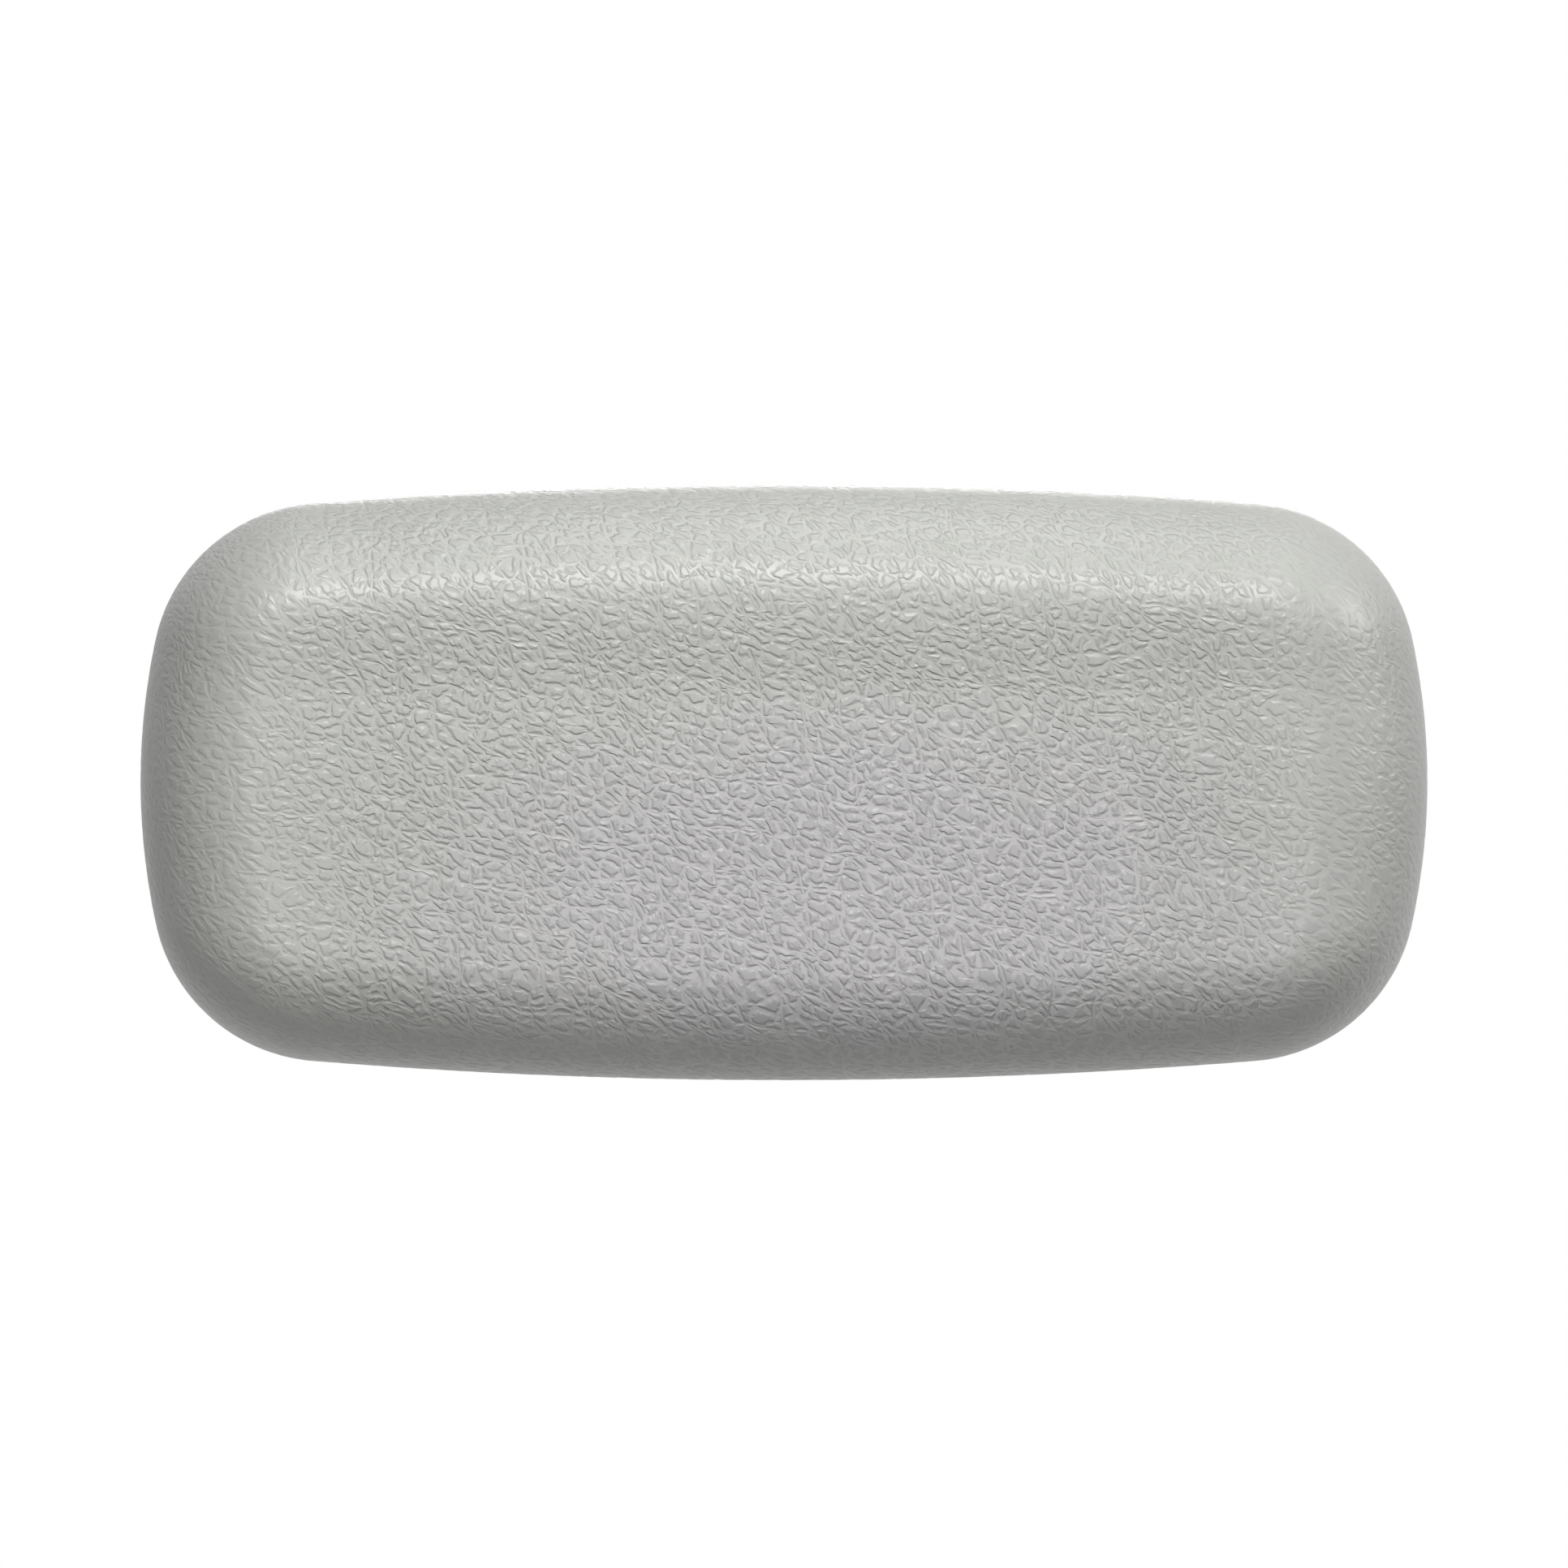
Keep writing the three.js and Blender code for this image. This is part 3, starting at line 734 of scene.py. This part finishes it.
def cup_stud(side, x):
    """Barb, stem, stop flange, neck and domed head."""
    dome = STUD_NECK_END + STUD_HEAD_EDGE
    head = [
        (STUD_HEAD_RADIUS * math.cos(turn), dome + STUD_HEAD_RISE * math.sin(turn))
        for turn in np.linspace(0, QUARTER, STUD_HEAD_STEPS)
    ]
    shank = [
        (0, STUD_TIP),
        (STUD_TIP_RADIUS, STUD_TIP),
        (STUD_BARB_RADIUS, STUD_BARB - STUD_BARB_EDGE),
        (STUD_BARB_RADIUS, STUD_BARB),
        (STUD_STEM_RADIUS, STUD_BARB),
        (STUD_STEM_RADIUS, STUD_FLANGE),
        (STUD_FLANGE_RADIUS, STUD_FLANGE),
        (STUD_FLANGE_RADIUS, STUD_FLANGE + STUD_FLANGE_THICKNESS),
        (STUD_NECK_RADIUS, STUD_FLANGE + STUD_FLANGE_THICKNESS),
        (STUD_NECK_RADIUS, STUD_NECK_END),
        (STUD_HEAD_RADIUS, STUD_NECK_END),
        head[0],
    ]
    return lathe(f"{side}_snap_stud", eased(shank, STUD_EASE) + head[1:], x)


# Rubber ring
RING_INNER, RING_OUTER = 4.5, 9.0
RING_NEAR, RING_FAR = 21.8, 24.0
RING_EASE = 0.7


def grip_ring(side, x):
    profile = [
        (RING_INNER, RING_NEAR),
        (RING_OUTER, RING_NEAR),
        (RING_OUTER, RING_FAR),
        (RING_INNER, RING_FAR),
    ]
    return lathe(f"{side}_rubber_ring", ring_profile(profile, RING_EASE), x)


# Socket: its tube from the mouth to the end, and its flange
SOCKET_RADIUS = 10.7
SOCKET_END = 33.3
MOUTH_REACH = 20.0
MOUTH_RADIUS = 7.0
GROOVE_RADIUS = 9.3
GROOVE_NEAR, GROOVE_FAR = 21.5, 24.3
CHAMBER_END = 31.3
SOCKET_EASE, BORE_EASE = 0.5, 0.25
FLANGE_NEAR, FLANGE_FAR = 25.2, 27.7
FLANGE_CORNER, FLANGE_CORNER_STEPS = 5.0, 9
SCREW_PLACE = 13.0
SCREW_HOLE, SCREW_HOLE_SEGMENTS = 1.65, 32

# How far a cutting piece stands past what it cuts
CUT_PAST = 1


def socket(side, x):
    """A closed tube with a groove for the ring, on a square flange with four screw holes."""
    outside = [
        (0, SOCKET_END),
        (SOCKET_RADIUS, SOCKET_END),
        (SOCKET_RADIUS, MOUTH_REACH),
        (MOUTH_RADIUS, MOUTH_REACH),
        (MOUTH_RADIUS, GROOVE_NEAR),
    ]
    bore = [
        (MOUTH_RADIUS, GROOVE_NEAR),
        (GROOVE_RADIUS, GROOVE_NEAR),
        (GROOVE_RADIUS, GROOVE_FAR),
        (MOUTH_RADIUS, GROOVE_FAR),
        (MOUTH_RADIUS, CHAMBER_END),
        (0, CHAMBER_END),
    ]
    profile = eased(outside, SOCKET_EASE) + eased(bore, BORE_EASE)[1:]
    obj = lathe(f"{side}_socket_shell", profile, x)
    combined(obj, flange(x), "UNION")
    for across in (-SCREW_PLACE, SCREW_PLACE):
        for up in (-SCREW_PLACE, SCREW_PLACE):
            combined(obj, screw_hole(x + across, up), "DIFFERENCE")
    obj.data.set_sharp_from_angle(angle=math.radians(SHARP_DEGREES))
    return obj


def flange(x):
    """A square with rounded corners, whose centres are the screws' places."""
    plan = []
    for corner in range(4):
        middle = QUARTER * (corner + 0.5)
        centre = math.sqrt(2) * SCREW_PLACE * np.array([math.cos(middle), math.sin(middle)])
        for turn in np.linspace(-QUARTER / 2, QUARTER / 2, FLANGE_CORNER_STEPS):
            facing = np.array([math.cos(middle + turn), math.sin(middle + turn)])
            plan.append(centre + FLANGE_CORNER * facing)
    plan = np.array(plan) + (x, 0.0)
    return slab("flange", plan, FLANGE_NEAR, FLANGE_FAR)


def screw_hole(x, z):
    plan = circle(x, SCREW_HOLE, 0.0, SCREW_HOLE_SEGMENTS)[:, (0, 2)] + (0.0, z)
    return slab("screw_hole", plan, FLANGE_NEAR - CUT_PAST, FLANGE_FAR + CUT_PAST)


def slab(name, plan, near, far):
    """A flat solid over a plan, between two reaches."""
    verts = [(px, -reach, pz) for reach in (near, far) for px, pz in plan]
    count = len(plan)
    faces = strip(np.arange(count), np.arange(count, 2 * count))
    faces += [list(range(count)), list(range(2 * count - 1, count - 1, -1))]
    return outward(piece(name, verts, faces))


def combined(obj, other, operation):
    """Joins another solid to a piece, or cuts it away."""
    change = obj.modifiers.new("change", "BOOLEAN")
    change.operation = operation
    change.solver = "EXACT"
    change.object = other
    settle(obj)
    bpy.data.objects.remove(other)


# Suction cup, and the knob round the stud's barb
CUP_RADIUS = 25
CUP_HOLLOW = 8
CUP_CROWN = 11.2
CUP_RIM, CUP_RIM_THICKNESS, CUP_RIM_EASE = 1.0, 0.9, 0.35
CUP_SEGMENTS = 128
KNOB_RADIUS = 8.5
KNOB_TOP = 17.9
KNOB_FILLET, KNOB_FILLET_STEPS = 1.6, 7
HOLE_CLEARANCE, HOLE_EASE = 0.3, 0.5


def cap_arc(rim_radius, rim_reach, crown_reach, from_radius, to_radius, steps=20):
    """Part of the arc of a shallow dome, between two radii."""
    rise = crown_reach - rim_reach
    ball = (rim_radius**2 + rise**2) / (2 * rise)
    turns = np.linspace(math.asin(from_radius / ball), math.asin(to_radius / ball), steps)
    return [(ball * math.sin(turn), crown_reach - ball * (1 - math.cos(turn))) for turn in turns]


def suction_cup(side, x):
    """A hollow cup with a knob round the stud's barb and stem, and a pull tab."""
    inner = CUP_RADIUS - CUP_RIM
    hollow = cap_arc(inner, 0, CUP_HOLLOW, inner, 0)
    knob_foot = KNOB_RADIUS + KNOB_FILLET
    crown = cap_arc(CUP_RADIUS, CUP_RIM_THICKNESS, CUP_CROWN, knob_foot, CUP_RADIUS)
    fillet = [
        (knob_foot - KNOB_FILLET * math.cos(turn), crown[0][1] + KNOB_FILLET * (1 - math.sin(turn)))
        for turn in np.linspace(0, QUARTER, KNOB_FILLET_STEPS)
    ]
    barb, stem = STUD_BARB_RADIUS + HOLE_CLEARANCE, STUD_STEM_RADIUS + HOLE_CLEARANCE
    hole = [
        (0, STUD_TIP - HOLE_CLEARANCE),
        (barb, STUD_TIP - HOLE_CLEARANCE),
        (barb, STUD_BARB + HOLE_CLEARANCE),
        (stem, STUD_BARB + HOLE_CLEARANCE),
        (stem, KNOB_TOP),
        (KNOB_RADIUS, KNOB_TOP),
        fillet[0],
    ]
    rim = [crown[-2], (CUP_RADIUS, CUP_RIM_THICKNESS), (CUP_RADIUS, 0), hollow[0], hollow[1]]
    rounded_rim = eased(rim, CUP_RIM_EASE)[1:-1]
    profile = eased(hole, HOLE_EASE) + fillet[1:-1] + crown[:-1] + rounded_rim + hollow[1:]
    cup = lathe(f"{side}_cup", profile, x, CUP_SEGMENTS)
    combined(cup, pull_tab(x), "UNION")
    cup.data.set_sharp_from_angle(angle=math.radians(SHARP_DEGREES))
    return cup


# Pull tab: lengths are distances below the cup's centre, and rises are on each face
TAB_ROOT, TAB_TIP = 23.8, 32
TAB_REACH = 0.95
TAB_HALF_WIDTH, TAB_CORNER = 4.5, 4
TAB_HALF_THICKNESS = 0.6
TAB_RIBS = (27.2, 28.6, 30.0)
TAB_RIB_WIDTH, TAB_RIB_RISE = 0.32, 0.2
TAB_BEAD_FROM, TAB_BEAD_TO, TAB_BEAD_RISE = 28.5, 31, 0.15
TAB_EVEN_END, TAB_EVEN_ROWS, TAB_TIP_ROWS = 30, 34, 12
TAB_COLUMNS = 19

# How squarely the tab's tip, sides and ribs end, as powers
TIP_POWER, SIDE_POWER, RIB_POWER = 16, 8, 4


def tab_half_width(length):
    past = max(length - (TAB_TIP - TAB_CORNER), 0)
    return TAB_HALF_WIDTH - TAB_CORNER + math.sqrt(max(TAB_CORNER**2 - past**2, 0))


def tab_half_thickness(length, share):
    """Half the tab's thickness at a length, and at a share of its half width from the middle."""
    rib = sum(math.exp(-(((length - at) / TAB_RIB_WIDTH) ** 2)) for at in TAB_RIBS)
    bead = smoothstep(length, TAB_BEAD_FROM, TAB_BEAD_TO)
    along = 1 - ((length - TAB_ROOT) / (TAB_TIP - TAB_ROOT)) ** TIP_POWER
    across = max(1 - share**SIDE_POWER, 0)
    rise = TAB_RIB_RISE * rib * (1 - share**RIB_POWER) + TAB_BEAD_RISE * bead
    return (TAB_HALF_THICKNESS + rise) * math.sqrt(across) * math.sqrt(along)


def pull_tab(x):
    """A tongue with three grip ribs, thickest at its tip."""
    even = np.linspace(TAB_ROOT, TAB_EVEN_END, TAB_EVEN_ROWS)[:-1]
    closing = np.sin(np.linspace(0, QUARTER, TAB_TIP_ROWS))
    lengths = np.concatenate([even, TAB_EVEN_END + (TAB_TIP - TAB_EVEN_END) * closing])
    shares = np.sin(np.linspace(-QUARTER, QUARTER, TAB_COLUMNS))
    verts, numbers = [], {}
    for face in (-1, 1):
        for i, length in enumerate(lengths):
            width = tab_half_width(length)
            for j, share in enumerate(shares):
                edge = j in (0, len(shares) - 1) or i == len(lengths) - 1
                if edge and face == 1:
                    numbers[face, i, j] = numbers[-1, i, j]
                    continue
                half = 0 if edge else tab_half_thickness(length, share)
                numbers[face, i, j] = len(verts)
                verts.append((x + width * share, -(TAB_REACH + face * half), -length))
    faces = []
    for face in (-1, 1):
        for i in range(len(lengths) - 1):
            for j in range(len(shares) - 1):
                corners = [(i, j), (i + 1, j), (i + 1, j + 1), (i, j + 1)]
                faces.append([numbers[face, *corner] for corner in corners])
    root = [numbers[-1, 0, j] for j in range(len(shares))]
    root += [numbers[1, 0, j] for j in reversed(range(1, len(shares) - 1))]
    faces.append(root)
    return outward(piece("tab", verts, faces))


# Materials


def new_material(name, colour, roughness, **settings):
    material = bpy.data.materials.new(name)
    material.use_nodes = True
    shader = material.node_tree.nodes["Principled BSDF"]
    shader.inputs["Base Color"].default_value = (*colour, 1.0)
    shader.inputs["Roughness"].default_value = roughness
    for key, value in settings.items():
        shader.inputs[key.replace("_", " ")].default_value = value
    return material, Nodes(material.node_tree), shader


# Sockets of a Mix node that mixes colours
MIX_AMOUNT, MIX_LOW, MIX_HIGH, MIX_RESULT = 0, 6, 7, 2


def mixed(n, amount, high, low):
    """A colour between two others, by an amount from 0 to 1."""
    inputs = {MIX_AMOUNT: amount, MIX_LOW: low, MIX_HIGH: high}
    return n.add("ShaderNodeMix", inputs, MIX_RESULT, data_type="RGBA")


def tinted(n, amount, high, low):
    return mixed(n, amount, (*high, 1.0), (*low, 1.0))


def bump(n, shader, height, distance, strength=1.0):
    inputs = {"Strength": strength, "Distance": distance * MM, "Height": height}
    n.feed(shader.inputs["Normal"], n.add("ShaderNodeBump", inputs))


def local_place(n):
    """The place on a piece, in millimetres."""
    return n.scaled(n.add("ShaderNodeTexCoord", output="Object"), 1 / MM)


# Grained skin: its colours, the cool place in the dish, and what the channels multiply them by. The
# warm and cool tints are painted light: warm where light falls from the upper right, cool and
# darker in the lower dish where light comes from below. The paler channels are a painted highlight.
SKIN_PALE = (0.515, 0.515, 0.497)
SKIN_WARM_PAINTED_LIGHT = (0.508, 0.515, 0.49)
SKIN_COOL_PAINTED_LIGHT = (0.478, 0.468, 0.478)
SKIN_ROUGHNESS = 0.38
COOL_PAINTED_LIGHT_CENTRE = (15.0, -24.0, 0.0)
COOL_PAINTED_LIGHT_HALF_LENGTH, COOL_PAINTED_LIGHT_HALF_HEIGHT = 105, 48
COOL_PAINTED_LIGHT_SPREAD = (1 / COOL_PAINTED_LIGHT_HALF_LENGTH, 1 / COOL_PAINTED_LIGHT_HALF_HEIGHT, 0.0)
COOL_PAINTED_LIGHT_EDGE = (0.35, 1.2)
TINT_SIZE = 30.0
TINT_DRIFT = 0.5
INNER_CHANNEL_PAINTED_HIGHLIGHT = (1.2, 1.2, 1.18)
OUTER_CHANNEL_PAINTED_HIGHLIGHT = (1.05, 1.05, 1.04)


def skin_material():
    material, n, shader = new_material("skin", SKIN_PALE, SKIN_ROUGHNESS)
    place = n.add("ShaderNodeAttribute", output="Vector", attribute_name="flat_place")
    amount = n.add("ShaderNodeAttribute", output="Fac", attribute_name="grain_amount")
    height = grain(n, place)
    bump(n, shader, height, GRAIN_BUMP, amount)
    n.feed(shader.inputs["Base Color"], skin_colour_and_painted_light(n, place, height))
    return material


def skin_colour_and_painted_light(n, place, height):
    """Pale grey with painted light: warmer on the outer parts and cooler and darker in the lower
    dish, and channels paler than the plates as a painted highlight, most in the dish.
    """
    spread = n.vector("MULTIPLY", n.vector("SUBTRACT", place, COOL_PAINTED_LIGHT_CENTRE), COOL_PAINTED_LIGHT_SPREAD)
    away = n.add("ShaderNodeVectorMath", {0: spread}, output="Value", operation="LENGTH")
    cloud = n.noise(place, TINT_SIZE, detail=3.0, rough=0.55)
    drift = n.math("SUBTRACT", cloud, NOISE_MIDDLE)
    edge = n.step(n.math("ADD", away, n.math("MULTIPLY", drift, TINT_DRIFT)), *COOL_PAINTED_LIGHT_EDGE)
    # Painted light: the warm tint stands for warm light from the upper right, the cool and darker
    # tint for cool light from below in the dish
    plate = tinted(n, edge, SKIN_WARM_PAINTED_LIGHT, SKIN_COOL_PAINTED_LIGHT)
    # Painted highlight: the channels between the plates are made paler, most in the dish
    channel_painted_highlight = n.vector("MULTIPLY", plate, tinted(n, edge, OUTER_CHANNEL_PAINTED_HIGHLIGHT, INNER_CHANNEL_PAINTED_HIGHLIGHT))
    return mixed(n, height, plate, channel_painted_highlight)


# Skin of the back: smooth, with fine unevenness on broad
BACK_PALE, BACK_DARK = SKIN_PALE, (0.45, 0.45, 0.435)
BACK_ROUGHNESS, BACK_ROUGHNESS_RANGE = 0.5, (0.44, 0.56)
BACK_FINE_SIZE, BACK_BROAD_SIZE, BACK_TINT_SIZE = 0.7, 30.0, 12.0
BACK_BROAD_WEIGHT = 9.0
BACK_BUMP = 0.09


def back_material():
    material, n, shader = new_material("skin_back", BACK_PALE, BACK_ROUGHNESS)
    place = n.add("ShaderNodeAttribute", output="Vector", attribute_name="rest_place")
    fine = n.noise(place, BACK_FINE_SIZE, rough=0.55)
    broad = n.noise(place, BACK_BROAD_SIZE)
    tint = n.noise(place, BACK_TINT_SIZE, detail=3.0, rough=0.6)
    bump(n, shader, n.math("ADD", fine, n.math("MULTIPLY", broad, BACK_BROAD_WEIGHT)), BACK_BUMP)
    n.feed(shader.inputs["Base Color"], tinted(n, tint, BACK_PALE, BACK_DARK))
    n.feed(shader.inputs["Roughness"], n.step(fine, *NOISE_WIDE, *BACK_ROUGHNESS_RANGE))
    return material


# Foam: pale cells with darker gaps between them, the darkness in the gaps being painted shade
FOAM_COLOUR, FOAM_ROUGHNESS, FOAM_SHEEN = (0.78, 0.73, 0.55), 0.95, 0.2
FOAM_PALE, FOAM_GAP_PAINTED_SHADE = (0.80, 0.75, 0.58), (0.55, 0.50, 0.36)
FOAM_CELL, FOAM_GAP = 0.9, (0.02, 0.15)
FOAM_BUMP = 0.25


def foam_material():
    material, n, shader = new_material(
        "foam", FOAM_COLOUR, FOAM_ROUGHNESS, Sheen_Weight=FOAM_SHEEN
    )
    cells = n.step(n.edges({"Vector": local_place(n)}, FOAM_CELL, "3D"), *FOAM_GAP)
    bump(n, shader, cells, FOAM_BUMP)
    # Painted shade: the recessed gaps between the cells are darkened
    n.feed(shader.inputs["Base Color"], tinted(n, cells, FOAM_PALE, FOAM_GAP_PAINTED_SHADE))
    return material


# Moulded plastics: pale and dark, roughness where dull and where glossy, size of the texture
PLASTICS = {
    "nylon": ((0.85, 0.85, 0.82), (0.74, 0.74, 0.71), 0.4, 0.28, 0.3),
    "rubber": ((0.022, 0.022, 0.024), (0.014, 0.014, 0.015), 0.85, 0.7, 0.2),
    "socket": ((0.66, 0.66, 0.63), (0.58, 0.58, 0.55), 0.5, 0.4, 0.3),
    "plate": ((0.04, 0.045, 0.05), (0.03, 0.033, 0.037), 0.65, 0.55, 0.4),
}
PLASTIC_FLOW_SIZE = 7.0
PLASTIC_BUMP = 0.03


def moulded_plastic(name):
    pale, dark, dull, glossy, texture = PLASTICS[name]
    material, n, shader = new_material(name, pale, dull)
    place = local_place(n)
    fine = n.noise(place, texture, rough=0.6)
    flow = n.noise(place, PLASTIC_FLOW_SIZE, detail=3.0, rough=0.55)
    bump(n, shader, fine, PLASTIC_BUMP)
    n.feed(shader.inputs["Base Color"], tinted(n, flow, pale, dark))
    n.feed(shader.inputs["Roughness"], n.step(flow, *NOISE_NARROW, glossy, dull))
    return material


# Clear vinyl of the cups
VINYL_COLOUR, VINYL_ROUGHNESS = (0.86, 0.92, 0.93), 0.12
VINYL_CLEARNESS, VINYL_IOR, VINYL_COAT = 0.85, 1.53, 0.3
VINYL_PALE, VINYL_DARK = (0.9, 0.95, 0.96), (0.78, 0.86, 0.88)
VINYL_ROUGHNESS_RANGE = (0.08, 0.2)
VINYL_FLOW_SIZE, VINYL_FINE_SIZE, VINYL_FINE_WEIGHT = 9.0, 0.8, 0.15
VINYL_BUMP = 0.12


def cup_material():
    material, n, shader = new_material(
        "clear_vinyl",
        VINYL_COLOUR,
        VINYL_ROUGHNESS,
        Transmission_Weight=VINYL_CLEARNESS,
        IOR=VINYL_IOR,
        Coat_Weight=VINYL_COAT,
    )
    place = local_place(n)
    flow = n.noise(place, VINYL_FLOW_SIZE, detail=3.0)
    fine = n.math("MULTIPLY", n.noise(place, VINYL_FINE_SIZE), VINYL_FINE_WEIGHT)
    bump(n, shader, n.math("ADD", flow, fine), VINYL_BUMP)
    n.feed(shader.inputs["Base Color"], tinted(n, flow, VINYL_PALE, VINYL_DARK))
    n.feed(shader.inputs["Roughness"], n.step(flow, *NOISE_NARROW, *VINYL_ROUGHNESS_RANGE))
    return material


# Brushed steel of the screws
STEEL_COLOUR, STEEL_ROUGHNESS = (0.6, 0.61, 0.62), 0.3
STEEL_ROUGHNESS_RANGE = (0.22, 0.4)
BRUSH_STRETCH, BRUSH_SIZE = (1.0, 0.1, 1.0), 0.25
STEEL_BUMP = 0.02


def steel_material():
    material, n, shader = new_material("steel", STEEL_COLOUR, STEEL_ROUGHNESS, Metallic=1.0)
    place = n.vector("MULTIPLY", local_place(n), BRUSH_STRETCH)
    brushed = n.noise(place, BRUSH_SIZE, rough=0.6)
    bump(n, shader, brushed, STEEL_BUMP)
    n.feed(shader.inputs["Roughness"], n.step(brushed, *NOISE_WIDE, *STEEL_ROUGHNESS_RANGE))
    return material


# Stage

# Photo, in pixels: its side, and the edges of the outline
PHOTO_SIZE = 1932
PHOTO_LEFT, PHOTO_RIGHT = 174, 1758
PHOTO_TOP, PHOTO_BOTTOM = 597, 1331

# How much wider the pillow looks, on each side, than it is at the parting line
SILHOUETTE_GROWTH = 0.45
SENSOR_WIDTH = 36.0

# Distance from the parting line's plane, in metres
CAMERA_DISTANCE = 1.1


def camera():
    """A straight view of the face, which fills the same share of the frame as in the photo."""
    scale = 2 * (HALF_LENGTH + SILHOUETTE_GROWTH) * MM / (PHOTO_RIGHT - PHOTO_LEFT)
    x = (PHOTO_SIZE - PHOTO_LEFT - PHOTO_RIGHT) / 2 * scale
    z = (PHOTO_TOP + PHOTO_BOTTOM - PHOTO_SIZE) / 2 * scale
    data = bpy.data.cameras.new("camera")
    data.sensor_fit = "HORIZONTAL"
    data.sensor_width = SENSOR_WIDTH
    data.lens = SENSOR_WIDTH * CAMERA_DISTANCE / (PHOTO_SIZE * scale)
    obj = bpy.data.objects.new("camera", data)
    bpy.context.scene.collection.objects.link(obj)
    obj.location = (x, -(PARTING_REACH * MM + CAMERA_DISTANCE), z)
    obj.rotation_euler = (QUARTER, 0.0, 0.0)
    bpy.context.scene.camera = obj


# Places and sizes in metres, powers in watts
LAMPS = {
    "key": ((0.0, -0.45, 0.3), 0.2, 1.8),
    "right": ((0.6, -0.1, 0.25), 0.3, 1.19),
    "left": ((-0.6, -0.7, 0.2), 0.4, 0.12),
    "front": ((0.0, -0.8, -0.1), 0.25, 0.95),
    "top": ((0.05, 0.0, 0.5), 0.3, 0.47),
    "back": ((0.0, 1.0, 0.08), 0.6, 6.8),
}

# Strength of the world's light from above and below, and between which heights it changes
WORLD_ABOVE, WORLD_BELOW = 0.02, 0.0
WORLD_FADE = (-0.5, 0.6)
WHITE = (1.0, 1.0, 1.0, 1.0)


def lamp(name, place, size, power):
    data = bpy.data.lights.new(name, "AREA")
    data.shape = "DISK"
    data.size = size
    data.energy = power
    obj = bpy.data.objects.new(name, data)
    bpy.context.scene.collection.objects.link(obj)
    obj.location = place
    obj.rotation_euler = (-Vector(place)).to_track_quat("-Z", "Y").to_euler()


def seen_directly(n):
    """1 for what the camera sees, also in gloss or through glass, and 0 for light on a surface."""
    path = n.tree.nodes.new("ShaderNodeLightPath")
    glass = n.math("MAXIMUM", path.outputs["Is Glossy Ray"], path.outputs["Is Transmission Ray"])
    return n.math("MAXIMUM", path.outputs["Is Camera Ray"], glass)


def world():
    studio = bpy.data.worlds.new("studio")
    bpy.context.scene.world = studio
    studio.use_nodes = True
    n = Nodes(studio.node_tree)
    background = studio.node_tree.nodes["Background"]
    background.inputs["Color"].default_value = WHITE
    direction = n.add("ShaderNodeTexCoord", output="Generated")
    height = n.add("ShaderNodeSeparateXYZ", {0: direction}, output=2)
    around = n.step(height, *WORLD_FADE, WORLD_BELOW, WORLD_ABOVE)
    n.feed(background.inputs["Strength"], n.mix(seen_directly(n), around, 1.0))


# Floor, in metres: its own grey shows the shadow, and it looks whiter away from the middle
FLOOR_HEIGHT = -0.3
FLOOR_HALF = 4.0
FLOOR_GREY, FLOOR_ROUGHNESS = (0.38, 0.38, 0.38), 0.9
FLOOR_FADE = (0.25, 0.6)
FLOOR_WHITE_SHARE = 0.5


def floor():
    corners = [(-1, -1), (1, -1), (1, 1), (-1, 1)]
    verts = [(FLOOR_HALF * x / MM, FLOOR_HALF * y / MM, FLOOR_HEIGHT / MM) for x, y in corners]
    obj = piece("floor", verts, [[0, 1, 2, 3]], smooth=False)
    material, n, shader = new_material("floor", FLOOR_GREY, FLOOR_ROUGHNESS)
    place = n.add("ShaderNodeTexCoord", output="Object")
    away = n.add("ShaderNodeVectorMath", {0: place}, output=1, operation="LENGTH")
    far = n.step(away, *FLOOR_FADE, FLOOR_WHITE_SHARE, 1.0)
    white = n.math("MULTIPLY", far, seen_directly(n))
    glow = n.add("ShaderNodeEmission", {"Color": WHITE, "Strength": 1.0})
    surface = n.add("ShaderNodeMixShader", {0: white, 1: shader.outputs[0], 2: glow})
    n.feed(n.tree.nodes["Material Output"].inputs["Surface"], surface)
    obj.data.materials.append(material)


def dressed(obj, body, node, material):
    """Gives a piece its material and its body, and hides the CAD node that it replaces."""
    obj.data.materials.append(material)
    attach(obj, body)
    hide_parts(node)


def keep(names, material):
    """Gives CAD nodes that stay a better material."""
    for name in names:
        node = frame["nodes"][name]
        for held in node.material_slots:
            held.material = material


# Screws of each socket
SCREW_NUMBERS = range(1, 5)


def dress():
    face = face_skin()
    raise_grain(face)
    dressed(face, "pillow", "face_skin", skin_material())
    back = back_skin()
    dressed(back, "pillow", "back_skin", back_material())
    pad = foam()
    dressed(pad, "pillow", "foam_core", foam_material())
    nylon = moulded_plastic("nylon")
    rubber = moulded_plastic("rubber")
    vinyl = cup_material()
    sockets = moulded_plastic("socket")
    for side, x in zip(SIDES, (-CUP_X, CUP_X)):
        dressed(cup_stud(side, x), f"{side}_stud", f"{side}_cup_stud", nylon)
        dressed(grip_ring(side, x), "pillow", f"{side}_grip_ring", rubber)
        dressed(socket(side, x), "pillow", f"{side}_socket", sockets)
        dressed(suction_cup(side, x), f"{side}_cup", f"{side}_suction_cup", vinyl)
    keep(["insert_plate"], moulded_plastic("plate"))
    screws = [f"{side}_socket_screw_{k}" for side in SIDES for k in SCREW_NUMBERS]
    keep(screws, steel_material())


camera()
world()
floor()
for name, (place, size, power) in LAMPS.items():
    lamp(name, place, size, power)
dress()

bpy.context.scene.view_settings.view_transform = "Standard"
bpy.context.view_layer.update()
